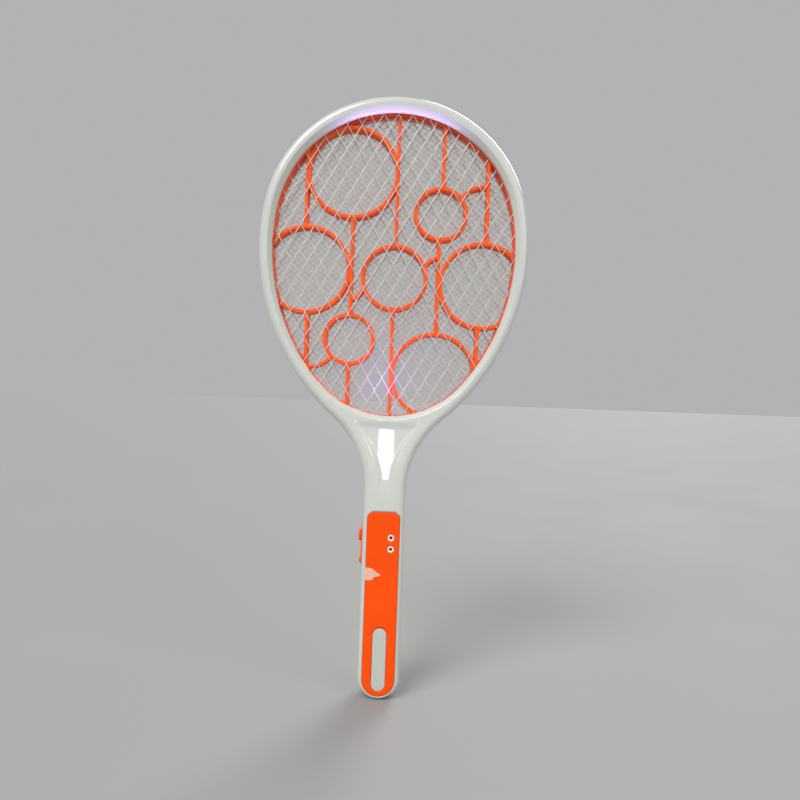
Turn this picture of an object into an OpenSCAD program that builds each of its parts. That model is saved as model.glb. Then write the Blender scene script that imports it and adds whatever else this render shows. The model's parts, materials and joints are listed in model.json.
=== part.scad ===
// Electric fly swatter: a rechargeable racket with three grids, a lamp and a lure light.
// Millimetres. The racket stands upright: +Z runs up the handle to the head, -Y is the front.
// The origin is at the middle of the hand grip, on the parting plane of the two shells.

/* [Overall] */
// Length from the butt end to the top of the head
overall_len = 490; // [440:1:560]
// Half of the racket's depth, from the parting plane to a face
half_depth = 13; // [12:0.5:16]
// Height of the hand's middle above the butt end
grip_height = 82; // [60:1:110]

/* [Head] */
// Radius of the opening's crown arc
crown_r = 98; // [82:1:118]
// Radius of the opening's two flank arcs
flank_r = 170; // [142:1:204]
// Angle from the top to the end of the crown arc
crown_angle = 80; // [78:1:82]
// Angle that each flank arc spans
flank_angle = 50; // [48:1:52]
// Width of the head frame at the sides
frame_w = 10.5; // [10:0.5:14]
// Extra width of the head frame at the top
crown_extra = 2; // [0:0.5:4]
// Extra radius of the outline's flank arcs
flank_extra = 3.5; // [0:0.5:5]
// Radius of the neck's hollow flare
neck_r = 78; // [65:1:94]
// Width of the sloped inner lip
lip_w = 3.4; // [2:0.2:4.4]
// Depth of the sloped inner lip
lip_drop = 3.6; // [2:0.2:4.4]

/* [Handle] */
// Width of the handle
handle_w = 34; // [32:0.5:40]
// Rounding of the shell edges
edge_r = 6; // [4:0.5:7]
// Height of the panel's top edge above the butt end
panel_top = 152.5; // [146:0.5:158]
// Width of the inlaid panel
panel_w = 26.8; // [22:0.2:27.4]
// Thickness of the inlaid panel
panel_t = 1.4; // [1:0.1:1.6]
// Corner radius of the panel's top
panel_corner = 5.5; // [3:0.5:8]

/* [Lamp and lights] */
// Width of the lamp lens
lens_w = 11.3; // [9:0.1:11.5]
// Height of the lens' lower end above the butt end
lens_low = 8; // [6:0.5:8]
// Height of the lens' upper end above the butt end
lens_high = 59; // [40:1:60]
// Number of lamp LEDs
lamp_leds_n = 5; // [3:1:6]
// Diameter of an indicator LED
indicator_d = 3; // [2:0.1:3.2]
// Outer diameter of an indicator's white ring
indicator_ring_d = 5.4; // [5:0.1:6]
// Distance of the indicators from the handle's middle line
indicator_x = 6.4; // [4:0.1:8]
// Height of the upper indicator above the butt end
indicator_z = 132; // [128:0.5:136]
// Distance between the indicators
indicator_pitch = 9.2; // [8:0.2:12]

/* [Switches] */
// Height of the bezel's middle above the butt end
bezel_z = 123.5; // [122:0.5:126]
// Length of the side bezel
bezel_len = 33; // [32:0.5:35]
// Width of the side bezel
bezel_w = 9; // [8:0.2:10]
// How far the bezel stands out of the handle
bezel_proud = 1.2; // [0.8:0.1:1.6]
// Full travel of the mode slider
slider_travel = 4; // [3:0.5:4]
// Travel of the push button
button_travel = 1; // [0.6:0.1:1.2]
// Diameter of the push button
button_d = 4.6; // [4:0.1:5]

/* [Grids] */
// Width of a coarse diamond of the outer grids
coarse_w = 11.8; // [10:0.1:14]
// Height of a coarse diamond of the outer grids
coarse_h = 20.6; // [17:0.1:24]
// Strand width of the outer grids
coarse_strand = 0.8; // [0.6:0.1:1.2]
// Width of a diamond of the inner grid
fine_w = 12.6; // [11:0.1:15]
// Height of a diamond of the inner grid
fine_h = 9.6; // [8:0.1:12]
// Strand width of the inner grid
fine_strand = 0.7; // [0.5:0.1:1]
// Thickness of each grid
grid_t = 0.8; // [0.6:0.1:1]
// Width of the lattice's rings and bars
lattice_w = 3.2; // [2.4:0.1:4]
// Depth of each spacer lattice
lattice_t = 4.6; // [4:0.1:5]

/* [Power] */
// Width of the battery
battery_w = 26; // [20:0.5:26]
// Height of the battery
battery_h = 48; // [36:1:48]
// Depth of the battery
battery_t = 15; // [12:0.5:15]
// Diameter of the inlet's pins
inlet_pin_d = 2.4; // [2.2:0.05:2.5]
// Distance between the inlet's pins
inlet_pitch = 8.6; // [8:0.1:9]

/* [Hidden] */

$fn = 48;
eps = 0.01;             // how far a cutter runs past a face
air = 0.2;              // clearance between pieces that are only placed together
wall = 2;               // shell wall
cavity_depth = 9.5;     // depth of the main cavity below the parting plane
front_wall = 2.4;       // shell wall behind the panel
pocket = 4.6;           // how far the grids' pocket reaches past the opening
ring_out = 4;           // how far grids and lattices reach past the opening
ring_in = 2.6;          // how far the lattice's rim ring stands into the opening
rib = 2.2;              // rib between the grids' pocket and the wire channel
half_w = handle_w / 2;

// Stack of grids and lattices, as distances from the parting plane
inner_half = grid_t / 2;
lattice_y = inner_half + air;
outer_grid_y = lattice_y + lattice_t + air;
lip_y = outer_grid_y + grid_t + air;

// Opening: three arcs a side, from the top round to the chin
chin_angle = crown_angle + flank_angle;
frame_top = frame_w + crown_extra;
opening_top = overall_len - frame_top;
crown_c = [0, opening_top - crown_r];
flank_c = crown_c + (crown_r - flank_r) * [sin(crown_angle), cos(crown_angle)];
chin_gap = -flank_c[0] / sin(chin_angle);
chin_r = flank_r - chin_gap;
chin_c = flank_c + chin_gap * [sin(chin_angle), cos(chin_angle)];
opening_low = chin_c[1] - chin_r;
opening_half_w = flank_c[0] + flank_r;
opening_mid = (opening_top + opening_low) / 2;

// Outer outline: crown arc, flank arc, hollow neck arc, straight handle, round butt
out_crown_r = crown_r + frame_w;
out_crown_c = [0, overall_len - out_crown_r];
out_flank_r = flank_r + frame_w + flank_extra;
out_flank_c = out_crown_c + (out_crown_r - out_flank_r) * [sin(crown_angle), cos(crown_angle)];
neck_dx = half_w + neck_r - out_flank_c[0];
neck_dz = sqrt(pow(out_flank_r + neck_r, 2) - pow(neck_dx, 2));
neck_c = [half_w + neck_r, out_flank_c[1] - neck_dz];
neck_angle = 90 + atan2(neck_dz, neck_dx);

// Points of an arc: heading 0 is straight up, 90 is towards +X; the last point is left out
function arc(c, r, from, to, n) =
  [for (i = [0:n - 1]) let (h = from + (to - from) * i / n) c + r * [sin(h), cos(h)]];

// Both halves of a symmetric outline, from its right half that starts and ends on the middle line
function both_sides(half) =
  concat(half, [for (i = [len(half) - 2:-1:1]) [-half[i][0], half[i][1]]]);

// The opening's outline, moved outwards by grow
function opening_outline(grow) = both_sides(concat(
  arc(crown_c, crown_r + grow, 0, crown_angle, 20),
  arc(flank_c, flank_r + grow, crown_angle, chin_angle, 16),
  arc(chin_c, chin_r + grow, chin_angle, 180, 12),
  [[0, opening_low - grow]]));

// The racket's outline, moved inwards by inset
function racket_outline(inset) = both_sides(concat(
  arc(out_crown_c, out_crown_r - inset, 0, crown_angle, 20),
  arc(out_flank_c, out_flank_r - inset, crown_angle, neck_angle, 18),
  arc(neck_c, -neck_r - inset, neck_angle, 90, 12),
  [[half_w - inset, neck_c[1]]],
  arc([0, half_w], half_w - inset, 90, 180, 12),
  [[0, inset]]));

// Moves a shape drawn with its butt end at height 0 into the part's frame
module in_frame() {
  translate([0, 0, -grip_height]) children();
}

// Extrudes a drawing of the XZ plane over the depths from..to in front of the parting plane
module forward(from, to) {
  translate([0, -from, 0]) rotate([90, 0, 0]) linear_extrude(height = to - from) children();
}

// Turns a drawing made for the front half into the rear half
module to_rear() {
  mirror([0, 1, 0]) children();
}

// Closed skin over levels: each level is [depth, outline], and the outlines run alike
module skin(levels) {
  n = len(levels[0][1]);
  last = len(levels) - 1;
  polyhedron(
    points = [for (l = levels, q = l[1]) [q[0], -l[0], q[1]]],
    faces = concat(
      [[for (i = [0:n - 1]) (n - i) % n], [for (i = [0:n - 1]) last * n + i]],
      [for (k = [0:last - 1], i = [0:n - 1]) let (j = (i + 1) % n)
        [(k + 1) * n + i, k * n + i, k * n + j, (k + 1) * n + j]]));
}

// A round post or hole along Y: r and the depths from..to in front of the parting plane
module post(x, z, r, from, to) {
  translate([x, -from, z]) rotate([90, 0, 0]) cylinder(r = r, h = to - from);
}

// A block between two corners
module block(a, b) {
  translate(a) cube(b - a);
}

// Stadium in the XZ plane, standing between two heights
module stadium(w, low, high) {
  translate([0, low + w / 2]) circle(d = w);
  translate([0, high - w / 2]) circle(d = w);
  translate([-w / 2, low + w / 2]) square([w, high - low - w]);
}

// ---- screws ----
screw_edge = 3.9;       // distance of the head screws from the outer edge
screw_r = 1.15;
screw_head_r = 2.1;
screw_head_t = 1.6;
screw_seat = 8;         // depth of the screw heads' seat in the rear shell
screw_tip = 7;          // depth that the screws reach in the front shell
boss_r = 2.2;
boss_head_r = 3;
boss_head_from = 6.9;
head_screw_spots = concat(
  [for (h = [-62, -21, 21, 62]) out_crown_c + (out_crown_r - screw_edge) * [sin(h), cos(h)]],
  [for (h = [96, 122], s = [-1, 1]) let (p = out_flank_c + (out_flank_r - screw_edge)
    * [sin(h), cos(h)]) [s * p[0], p[1]]]);
battery_low = 19;
board_low = 76;
grip_screw_z = 71.5;
board_high = 163;
upper_screw_z = max(neck_c[1] + 3, board_high + boss_head_r + air);
neck_screw_x = 20;
neck_screw_z = opening_low - 19;
handle_screw_spots = [
  [0, grip_screw_z], [0, upper_screw_z],
  [-neck_screw_x, neck_screw_z], [neck_screw_x, neck_screw_z]];
all_screw_spots = concat(head_screw_spots, handle_screw_spots);

// ---- shells ----
// Solid half of the racket, rounded at its face, before it is hollowed
edge_step = 18;         // degrees of a facet of the rounding
module half_body() {
  skin(concat(
    [[0, racket_outline(0)]],
    [for (a = [0:edge_step:90])
      [half_depth - edge_r * (1 - sin(a)), racket_outline(edge_r * (1 - cos(a)))]]));
}

// Cutter for the opening, its sloped lip and the pocket of the grids
module opening_cut() {
  forward(-eps, lip_y) polygon(opening_outline(pocket));
  skin([
    [lip_y - 1, opening_outline(0)],
    [half_depth - lip_drop, opening_outline(0)],
    [half_depth + eps, opening_outline(lip_w)]]);
}

// Cavity of a half: a channel round the head, and a deeper hollow in neck and handle
deep_inset = 5;
module cavity() {
  difference() {
    forward(-1, cavity_depth) polygon(racket_outline(wall));
    forward(-2, half_depth) polygon(opening_outline(pocket + rib));
  }
  intersection() {
    forward(-2, half_depth - front_wall) polygon(racket_outline(deep_inset));
    block([-overall_len, -half_depth, 0], [overall_len, half_depth, opening_low - pocket - rib - wall]);
  }
}

// Screw bosses of a half, with their thick ends under the screw heads
module boss(p, depth) {
  post(p[0], p[1], boss_r, 0, boss_head_from + 1);
  post(p[0], p[1], boss_head_r, boss_head_from, depth);
}

module bosses() {
  for (p = head_screw_spots) boss(p, cavity_depth + 0.5);
  for (p = handle_screw_spots) boss(p, half_depth - front_wall + 0.5);
}

// Slot of the grids' contacts through the rib below the opening
contact_x = 9;
contact_w = 4;
module contact_slots() {
  for (x = [-contact_x, contact_x])
    block([x - contact_w / 2 - air, -lip_y, opening_low - pocket - rib - 1],
          [x + contact_w / 2 + air, eps, opening_low - pocket + 1]);
}

bezel_in = 2.2;         // how far the bezel reaches into the wall
bezel_step = 1.5;       // how much smaller its inner part is all round
// Window for the bezel's inner part in the left wall
module bezel_window() {
  w = bezel_w - 2 * bezel_step + 2 * air;
  l = bezel_len - 2 * bezel_step + 2 * air;
  block([-half_w - 1, -w / 2, bezel_z - l / 2], [-half_w + wall + 2, w / 2, bezel_z + l / 2]);
}

// Figure-eight opening of the inlet in the butt
inlet_hole_r = 4;
module inlet_shape(r) {
  for (y = [-inlet_pitch / 2, inlet_pitch / 2]) translate([0, y]) circle(r = r);
  translate([-r, -inlet_pitch / 2]) square([2 * r, inlet_pitch]);
}

module inlet_window() {
  translate([0, 0, -1]) linear_extrude(height = 6) inlet_shape(inlet_hole_r);
}

lure_x = 7;
lure_r = 1.5;
lure_depth = lip_y + lure_r + 0.2;
// Holes of the lure LEDs, up through the chin of the opening
module lure_holes() {
  for (x = [-lure_x, lure_x])
    translate([x, -lure_depth, opening_low - pocket - rib - wall - 3])
      cylinder(r = lure_r + 0.15, h = pocket + rib + wall + 8);
}

indicator_spots = [[indicator_x, indicator_z], [indicator_x, indicator_z - indicator_pitch]];

module panel_outline(grow) {
  r = panel_w / 2 + grow;
  c = panel_corner + grow;
  translate([0, half_w]) circle(r = r);
  translate([-r, half_w]) square([2 * r, panel_top + grow - c - half_w]);
  for (x = [c - r, r - c]) translate([x, panel_top + grow - c]) circle(r = c);
  translate([c - r, half_w]) square([2 * (r - c), panel_top + grow - half_w]);
}

module shell_half() {
  difference() {
    union() {
      difference() {
        half_body();
        opening_cut();
        cavity();
      }
      bosses();
    }
    contact_slots();
    bezel_window();
    inlet_window();
  }
}

pilot_r = 1.2;
clear_r = 1.4;
module front_shell() {
  color("#e9ebe4") in_frame() difference() {
    shell_half();
    for (p = all_screw_spots) post(p[0], p[1], pilot_r, -eps, screw_tip + 1);
    forward(half_depth - panel_t, half_depth + 1) panel_outline(0.1);
    forward(cavity_depth - 1, half_depth + 1) stadium(lens_w + air, lens_low - air / 2,
      lens_high + air / 2);
    for (p = indicator_spots) post(p[0], p[1], indicator_ring_d / 2 - 0.5, cavity_depth, half_depth + 1);
    lure_holes();
  }
}

module rear_shell() {
  color("#e9ebe4") in_frame() to_rear() difference() {
    shell_half();
    for (p = all_screw_spots) {
      post(p[0], p[1], clear_r, -eps, screw_seat + 1);
      post(p[0], p[1], screw_head_r + 0.3, screw_seat, half_depth + 1);
    }
  }
}

// ---- grids ----
// The part of a convex polygon p on the inner side of the line through a and b
function clipped(p, a, b) = let (n = [b[1] - a[1], a[0] - b[0]])
  [for (i = [0:len(p) - 1]) let (u = p[i], v = p[(i + 1) % len(p)], du = (u - a) * n, dv = (v - a) * n)
    each concat(du >= 0 ? [] : [u], du * dv < 0 ? [u + (v - u) * du / (du - dv)] : [])];

// The part of a convex polygon p inside the convex outline o, from its edge i on
function clipped_to(p, o, i = 0) = len(p) < 3 || i == len(o) ? p
  : clipped_to(clipped(p, o[(i + 1) % len(o)], o[i]), o, i + 1);

// Area of a polygon
function area(p) = len(p) < 3 ? 0
  : abs([for (i = [0:len(p) - 1]) cross(p[i], p[(i + 1) % len(p)])] * [for (q = p) 0.5]);

// Expanded sheet in the opening's shape: diamonds w by h, less the strand between them
grid_border = 1;
smallest_hole = 1.5;
module grid_sheet(w, h, strand) {
  lean = atan2(w, h);
  a = (w - strand / cos(lean)) / 2;
  b = (h - strand / sin(lean)) / 2;
  nx = ceil((opening_half_w + ring_out) / w);
  nz = ceil((opening_top - opening_low + 2 * ring_out) / h / 2);
  inner = opening_outline(ring_out - grid_border);
  difference() {
    polygon(opening_outline(ring_out));
    for (i = [-nx:nx], j = [-nz:nz], k = [0, 1])
      let (x = (i + k / 2) * w, z = opening_mid + (j + k / 2) * h,
           hole = clipped_to([[x - a, z], [x, z - b], [x + a, z], [x, z + b]], inner))
        if (area(hole) > smallest_hole) polygon(hole);
  }
}

module front_grid() {
  color("#b9b4a8") in_frame() forward(outer_grid_y, outer_grid_y + grid_t)
    grid_sheet(coarse_w, coarse_h, coarse_strand);
}

module rear_grid() {
  color("#b9b4a8") in_frame() to_rear() forward(outer_grid_y, outer_grid_y + grid_t)
    grid_sheet(coarse_w, coarse_h, coarse_strand);
}

module inner_grid() {
  color("#a9a7a0") in_frame() forward(-inner_half, inner_half)
    grid_sheet(fine_w, fine_h, fine_strand);
}

// ---- spacer lattices ----
// Rings as [x, z, radius], in units of the opening's half width from its middle
RINGS = [
  [-0.36, 0.76, 0.37],      // 0 upper left
  [0.38, 0.435, 0.21],      // 1 upper right
  [-0.72, -0.06, 0.353],    // 2 left
  [0.012, -0.104, 0.262],   // 3 middle
  [0.743, -0.147, 0.349],   // 4 right
  [-0.345, -0.625, 0.2],    // 5 lower left
  [0.363, -0.904, 0.343]    // 6 lower right
];
beyond = 1.6;             // runs past the rim, in the same units
// Upright bars as [x, from z, to z]: each runs from a ring's edge to the rim or to another ring
BARS = [
  [0.014, RINGS[3][1] + RINGS[3][2], beyond],
  [RINGS[1][0] + 0.012, RINGS[1][1] + RINGS[1][2], beyond],
  [RINGS[2][0], RINGS[2][1] + RINGS[2][2], beyond],
  [RINGS[5][0], RINGS[5][1] + RINGS[5][2], RINGS[0][1] - RINGS[0][2]],
  [RINGS[6][0] + 0.01, RINGS[6][1] + RINGS[6][2], RINGS[1][1] - RINGS[1][2]],
  [RINGS[4][0] + 0.02, RINGS[4][1] + RINGS[4][2], beyond],
  [RINGS[2][0] + 0.02, -beyond, RINGS[2][1] - RINGS[2][2]],
  [RINGS[5][0], -beyond, RINGS[5][1] - RINGS[5][2]],
  [0.012, -beyond, RINGS[3][1] - RINGS[3][2]],
  [RINGS[4][0] - 0.03, -beyond, RINGS[4][1] - RINGS[4][2]]
];
// Short slanted links as [from, to]
LINKS = [
  [[0.53, 0.57], [0.77, 0.68]],
  [[0.25, -0.02], [0.38, 0.075]],
  [[-0.24, -0.2], [-0.35, -0.285]],
  [[-0.48, -0.76], [-0.72, -0.9]]
];

// Outline of a straight link from a to b, about the middle of the opening
function link_outline(a, b) =
  let (d = (b - a) / norm(b - a) * lattice_w / 2, n = [d[1], -d[0]], m = [0, opening_mid])
    [m + a + n, m + b + n, m + b - n, m + a - n];

// Ring in the XZ plane about the middle of the opening, between two depths
ring_sides = 48;
module ring(c, r, from, to) {
  m = [c[0], opening_mid + c[1]];
  difference() {
    forward(from, to) polygon(arc(m, r + lattice_w / 2, 0, 360, ring_sides));
    forward(from - 1, to + 1) polygon(arc(m, r - lattice_w / 2, 0, 360, ring_sides));
  }
}

module lattice() {
  u = opening_half_w;
  y0 = lattice_y;
  y1 = lattice_y + lattice_t;
  difference() {
    forward(y0, y1) polygon(opening_outline(ring_out));
    forward(y0 - 1, y1 + 1) polygon(opening_outline(-ring_in));
  }
  intersection() {
    forward(y0 - 1, y1 + 1) polygon(opening_outline(0.7 - ring_in));
    union() {
      for (r = RINGS) ring([r[0], r[1]] * u, r[2] * u, y0, y1);
      for (b = BARS) translate([b[0] * u - lattice_w / 2, -y1, opening_mid + b[1] * u])
        cube([lattice_w, lattice_t, (b[2] - b[1]) * u]);
      for (l = LINKS)
        forward(y0, y1) polygon(link_outline(l[0] * u, l[1] * u));
    }
  }
}

module front_lattice() {
  color("#ff5a1a") in_frame() lattice();
}

module rear_lattice() {
  color("#ff5a1a") in_frame() to_rear() lattice();
}

// ---- panel, lamp and indicators ----
module grip_panel() {
  color("#ff5712") in_frame() difference() {
    forward(half_depth - panel_t, half_depth) panel_outline(0);
    forward(0, half_depth + 1) stadium(lens_w + air, lens_low - air / 2, lens_high + air / 2);
    for (p = indicator_spots) post(p[0], p[1], indicator_ring_d / 2, 0, half_depth + 1);
  }
}

scrap_t = 0.15;
scrap_low = 97.5;
scrap_high = 107.5;
scrap_tip = 101.5;      // height of the torn tip, on the panel's middle line
scrap_shoulder = 5.3;   // how far the scrap stays broad before it narrows
module seal_scrap() {
  edge = -panel_w / 2;
  half_way = edge + 2 * scrap_shoulder * 0.85;
  color("#f0c8c0") in_frame() forward(half_depth, half_depth + scrap_t)
    polygon([[edge, scrap_low], [edge + scrap_shoulder, scrap_low + 0.4],
      [half_way, (scrap_low + scrap_tip) / 2 + 0.2], [0, scrap_tip - 0.4], [0, scrap_tip + 0.2],
      [half_way, (scrap_high + scrap_tip) / 2], [edge + scrap_shoulder, scrap_high - 0.8],
      [edge, scrap_high]]);
}

lens_flange = 0.8;
module lamp_lens() {
  color("#c3c6bc") in_frame() {
    forward(half_depth - front_wall, half_depth + 0.1) stadium(lens_w, lens_low, lens_high);
    forward(half_depth - front_wall - 0.9, half_depth - front_wall)
      stadium(lens_w + 2 * lens_flange, lens_low - lens_flange, lens_high + lens_flange);
  }
}

lamp_board_w = 10;
lamp_board_low = 16.5;
lamp_board_y = 7;
lamp_board_t = 1.2;
lamp_board_h = lens_high - 1 - lamp_board_low;
module lamp_board() {
  color("#2f6b3a") in_frame() block(
    [-lamp_board_w / 2, -lamp_board_y - lamp_board_t, lamp_board_low],
    [lamp_board_w / 2, -lamp_board_y, lamp_board_low + lamp_board_h]);
}

lamp_led = 3.5;
module lamp_leds() {
  pitch = lamp_board_h / lamp_leds_n;
  color("#f5f0c0") in_frame() for (i = [0:lamp_leds_n - 1])
    translate([0, -lamp_board_y - lamp_board_t, lamp_board_low + pitch * (i + 0.5)]) {
      block([-lamp_led / 2, -0.7, -lamp_led / 2], [lamp_led / 2, 0, lamp_led / 2]);
      post(0, 0, lamp_led * 0.4, 0.7, 0.9);
    }
}

module indicator_ring(spot) {
  p = indicator_spots[spot];
  color("#f4f4f0") in_frame() difference() {
    post(p[0], p[1], indicator_ring_d / 2 - 0.05, half_depth - panel_t, half_depth + 0.4);
    post(p[0], p[1], indicator_d / 2 - 0.2, 0, half_depth + 1);
  }
}

board_y = 3;            // front face of the circuit board, behind the parting plane
module indicator_led(spot) {
  p = indicator_spots[spot];
  led_r = indicator_d / 2 - 0.25;
  color("#3a1014") in_frame() {
    post(p[0], p[1], led_r, half_depth - 5, half_depth - 0.4);
    post(p[0], p[1], led_r + 0.3, half_depth - 5.6, half_depth - 5);
    for (s = [-1, 1]) post(p[0] + s * 0.8, p[1], 0.25, -board_y, half_depth - 5.6);
  }
}

module indicator_ring_upper() { indicator_ring(0); }
module indicator_ring_lower() { indicator_ring(1); }
module indicator_led_upper() { indicator_led(0); }
module indicator_led_lower() { indicator_led(1); }

// ---- side controls ----
bezel_face = -half_w - bezel_proud;
thumb_l = 9.2;
thumb_w = 6.4;
thumb_t = 1.9;
thumb_neck = 2.6;
thumb_z = 131;          // middle of the thumb at its upper stop
slide_gap = 0.15;
thumb_in = -half_w + 4;
button_z = 110.8;
button_gap = 0.1;

// Stadium in the YZ plane, extruded along +X from x by t
module side_stadium(x, t, w, l, z) {
  translate([x, 0, z]) rotate([90, 0, 90]) linear_extrude(height = t) stadium(w, -l / 2, l / 2);
}

module switch_bezel() {
  slot_low = thumb_z - slider_travel - thumb_neck / 2 - slide_gap;
  slot_high = thumb_z + thumb_neck / 2 + slide_gap;
  color("#ff5712") in_frame() difference() {
    union() {
      side_stadium(bezel_face, bezel_proud, bezel_w, bezel_len, bezel_z);
      block([-half_w, bezel_step - bezel_w / 2, bezel_z + bezel_step - bezel_len / 2],
            [-half_w + bezel_in, bezel_w / 2 - bezel_step, bezel_z - bezel_step + bezel_len / 2]);
    }
    block([bezel_face - 1, -thumb_neck / 2 - slide_gap, slot_low],
          [0, thumb_neck / 2 + slide_gap, slot_high]);
    translate([bezel_face - 1, 0, button_z]) rotate([0, 90, 0])
      cylinder(d = button_d + 2 * button_gap, h = 20);
  }
}

lever_x = -half_w + 6.5;   // left face of the slide switch
module mode_thumb() {
  color("#ff5712") in_frame() {
    difference() {
      side_stadium(bezel_face - slide_gap - thumb_t, thumb_t, thumb_w, thumb_l, thumb_z);
      for (z = [-2.4, 0, 2.4]) translate([bezel_face - slide_gap - thumb_t, 0, thumb_z + z])
        rotate([90, 0, 0]) cylinder(r = 0.5, h = 20, center = true);
    }
    block([bezel_face - slide_gap, -thumb_neck / 2, thumb_z - thumb_neck / 2],
          [thumb_in, thumb_neck / 2, thumb_z + thumb_neck / 2]);
  }
}

// Lever of the slide switch, behind the thumb's neck and moved with it
module switch_lever() {
  color("#202020") in_frame() block(
    [thumb_in, -1, thumb_z - 1.1], [lever_x + 1, 1, thumb_z + 1.1]);
}

module slide_switch() {
  color("#9fa3a6") in_frame() difference() {
    block([lever_x, -board_y, thumb_z - slider_travel / 2 - 6],
          [lever_x + 4.5, board_y, thumb_z - slider_travel / 2 + 6]);
    block([lever_x - 1, -1.2, thumb_z - slider_travel - 1.3], [lever_x + 1.4, 1.2, thumb_z + 1.3]);
  }
}

button_out = 1.3;
button_stem_end = -half_w + 5;
// Round piece along +X at the button's height
module button_round(x0, x1, r) {
  translate([x0, 0, button_z]) rotate([0, 90, 0]) cylinder(r = r, h = x1 - x0);
}

module push_button() {
  flange_x = -half_w + bezel_in + 0.05;
  color("#ff5712") in_frame() {
    difference() {
      button_round(bezel_face - button_out, flange_x, button_d / 2);
      translate([bezel_face - button_out, 0, button_z]) rotate([0, 90, 0])
        rotate_extrude() polygon([[button_d / 2 - 0.7, -eps], [button_d / 2 + 1, -eps],
          [button_d / 2 + 1, 0.7], [button_d / 2 + eps, 0.7]]);
    }
    button_round(flange_x, flange_x + 0.8, button_d / 2 + 0.5);
    button_round(flange_x + 0.8, button_stem_end, 1.4);
  }
}

tact_x = button_stem_end + button_travel + 0.4;
module tact_plunger() {
  color("#202020") in_frame() button_round(button_stem_end, tact_x + 1.2, 1.2);
}

module tact_switch() {
  color("#303030") in_frame() difference() {
    block([tact_x, -board_y, button_z - 3], [tact_x + 3.6, board_y, button_z + 3]);
    button_round(tact_x - 1, tact_x + 1.3 + button_travel, 1.3);
  }
}

// ---- lure lights ----
lure_board_z = opening_low - pocket - rib - 9.5;
module lure_led(side) {
  top = opening_low - 1.4;
  foot = lure_board_z + 1.2;
  color("#b9a5ff") in_frame() translate([side * lure_x, -lure_depth, 0]) {
    translate([0, 0, foot + 2]) cylinder(r = lure_r, h = top - lure_r - foot - 2);
    translate([0, 0, top - lure_r]) intersection() {
      sphere(r = lure_r);
      translate([0, 0, lure_r]) cube(2 * lure_r, center = true);
    }
    translate([0, 0, foot]) cylinder(r = lure_r + 0.3, h = 2);
  }
}

module lure_led_left() { lure_led(-1); }
module lure_led_right() { lure_led(1); }

module lure_board() {
  color("#2f6b3a") in_frame() block(
    [-lure_x - 3, -half_depth + front_wall + 0.3, lure_board_z],
    [lure_x + 3, -lure_depth + 1.1, lure_board_z + 1.2]);
}

// ---- circuit ----
board_w = 23;
board_t = 1.2;
module circuit_board() {
  color("#2f6b3a") in_frame() block([-board_w / 2, board_y, board_low],
    [board_w / 2, board_y + board_t, board_high]);
}

core_z = 86;
core = [15, 10, 4];     // each half of the core: width, depth and height
core_gap = 6;           // height of the window between the halves
core_leg = 2.8;
winding_w = 8.4;
winding_h = 5.8;
winding_bore_w = 3;
winding_wall = 1;
module transformer_core() {
  color("#3c3c40") in_frame() {
    for (s = [-1, 1]) translate([0, board_y - core[1] / 2, core_z + s * (core[2] + core_gap) / 2])
      cube(core, center = true);
    for (x = [-1, 0, 1]) translate([x * (core[0] - core_leg) / 2, board_y - core[1] / 2, core_z])
      cube([core_leg, core[1] - 3 * winding_wall, core_gap], center = true);
  }
}

module transformer_winding() {
  y = board_y - core[1] / 2;
  color("#b8691e") in_frame() difference() {
    block([-winding_w / 2, y - core[1] / 2 + 2 * air, core_z - winding_h / 2],
      [winding_w / 2, y + core[1] / 2 - air, core_z + winding_h / 2]);
    block([-winding_bore_w / 2, y - core[1] / 2 + winding_wall + 2 * air, core_z - winding_h],
      [winding_bore_w / 2, y + core[1] / 2 - winding_wall - 2 * air, core_z + winding_h]);
  }
}

output_cap = [16, 9, 6.5];      // width, depth and height
output_cap_low = 147;
module output_capacitor() {
  color("#b5322a") in_frame() translate([-output_cap[0] / 2, board_y - output_cap[1], output_cap_low])
    cube(output_cap);
}

dropper_cap = [13, 8, 7];       // width, depth and height
dropper_cap_at = [-9.5, 96];    // its left side and its lower end
module dropper_capacitor() {
  color("#c9b23a") in_frame()
    translate([dropper_cap_at[0], board_y - dropper_cap[1], dropper_cap_at[1]]) cube(dropper_cap);
}

transistor = [6.5, 3, 9];       // width, depth and height
transistor_at = [-3, 134];      // its left side and its lower end
transistor_hole = 1;            // radius of the hole in its tab
module drive_transistor() {
  hole_x = transistor_at[0] + transistor[0] / 2;
  hole_z = transistor_at[1] + transistor[2] - 2 * transistor_hole;
  color("#26262a") in_frame() difference() {
    translate([transistor_at[0], board_y - transistor[1], transistor_at[1]]) cube(transistor);
    post(hole_x, hole_z, transistor_hole, -board_y - 1, transistor[1]);
  }
}

module rectifier_diodes() {
  color("#1f1f22") in_frame() for (i = [0:3])
    translate([6, board_y - 1.45, 98 + i * 4]) rotate([0, 90, 0])
      cylinder(r = 1.35, h = 5);
}

resistor_r = 1.1;
resistor_h = 6;
resistor_pitch = 3.2;
module resistors() {
  color("#cdb58a") in_frame() for (i = [-1:1])
    translate([resistor_pitch * i, board_y - resistor_r - 0.1, board_high - 8])
      cylinder(r = resistor_r, h = resistor_h);
}

// ---- battery ----
battery_front = 5.6;
module battery() {
  color("#38424c") in_frame() {
    block([-battery_w / 2, -battery_front, battery_low],
          [battery_w / 2, battery_t - battery_front, battery_low + battery_h - 2]);
    for (x = [-7, 7]) block([x - 1.5, -1, battery_low + battery_h - 2],
      [x + 1.5, 1, battery_low + battery_h]);
  }
}

module battery_pad() {
  color("#55585a") in_frame() block([-9, -lamp_board_y + 0.1, battery_low + 4],
    [9, -battery_front, battery_low + battery_h - 8]);
}

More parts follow.
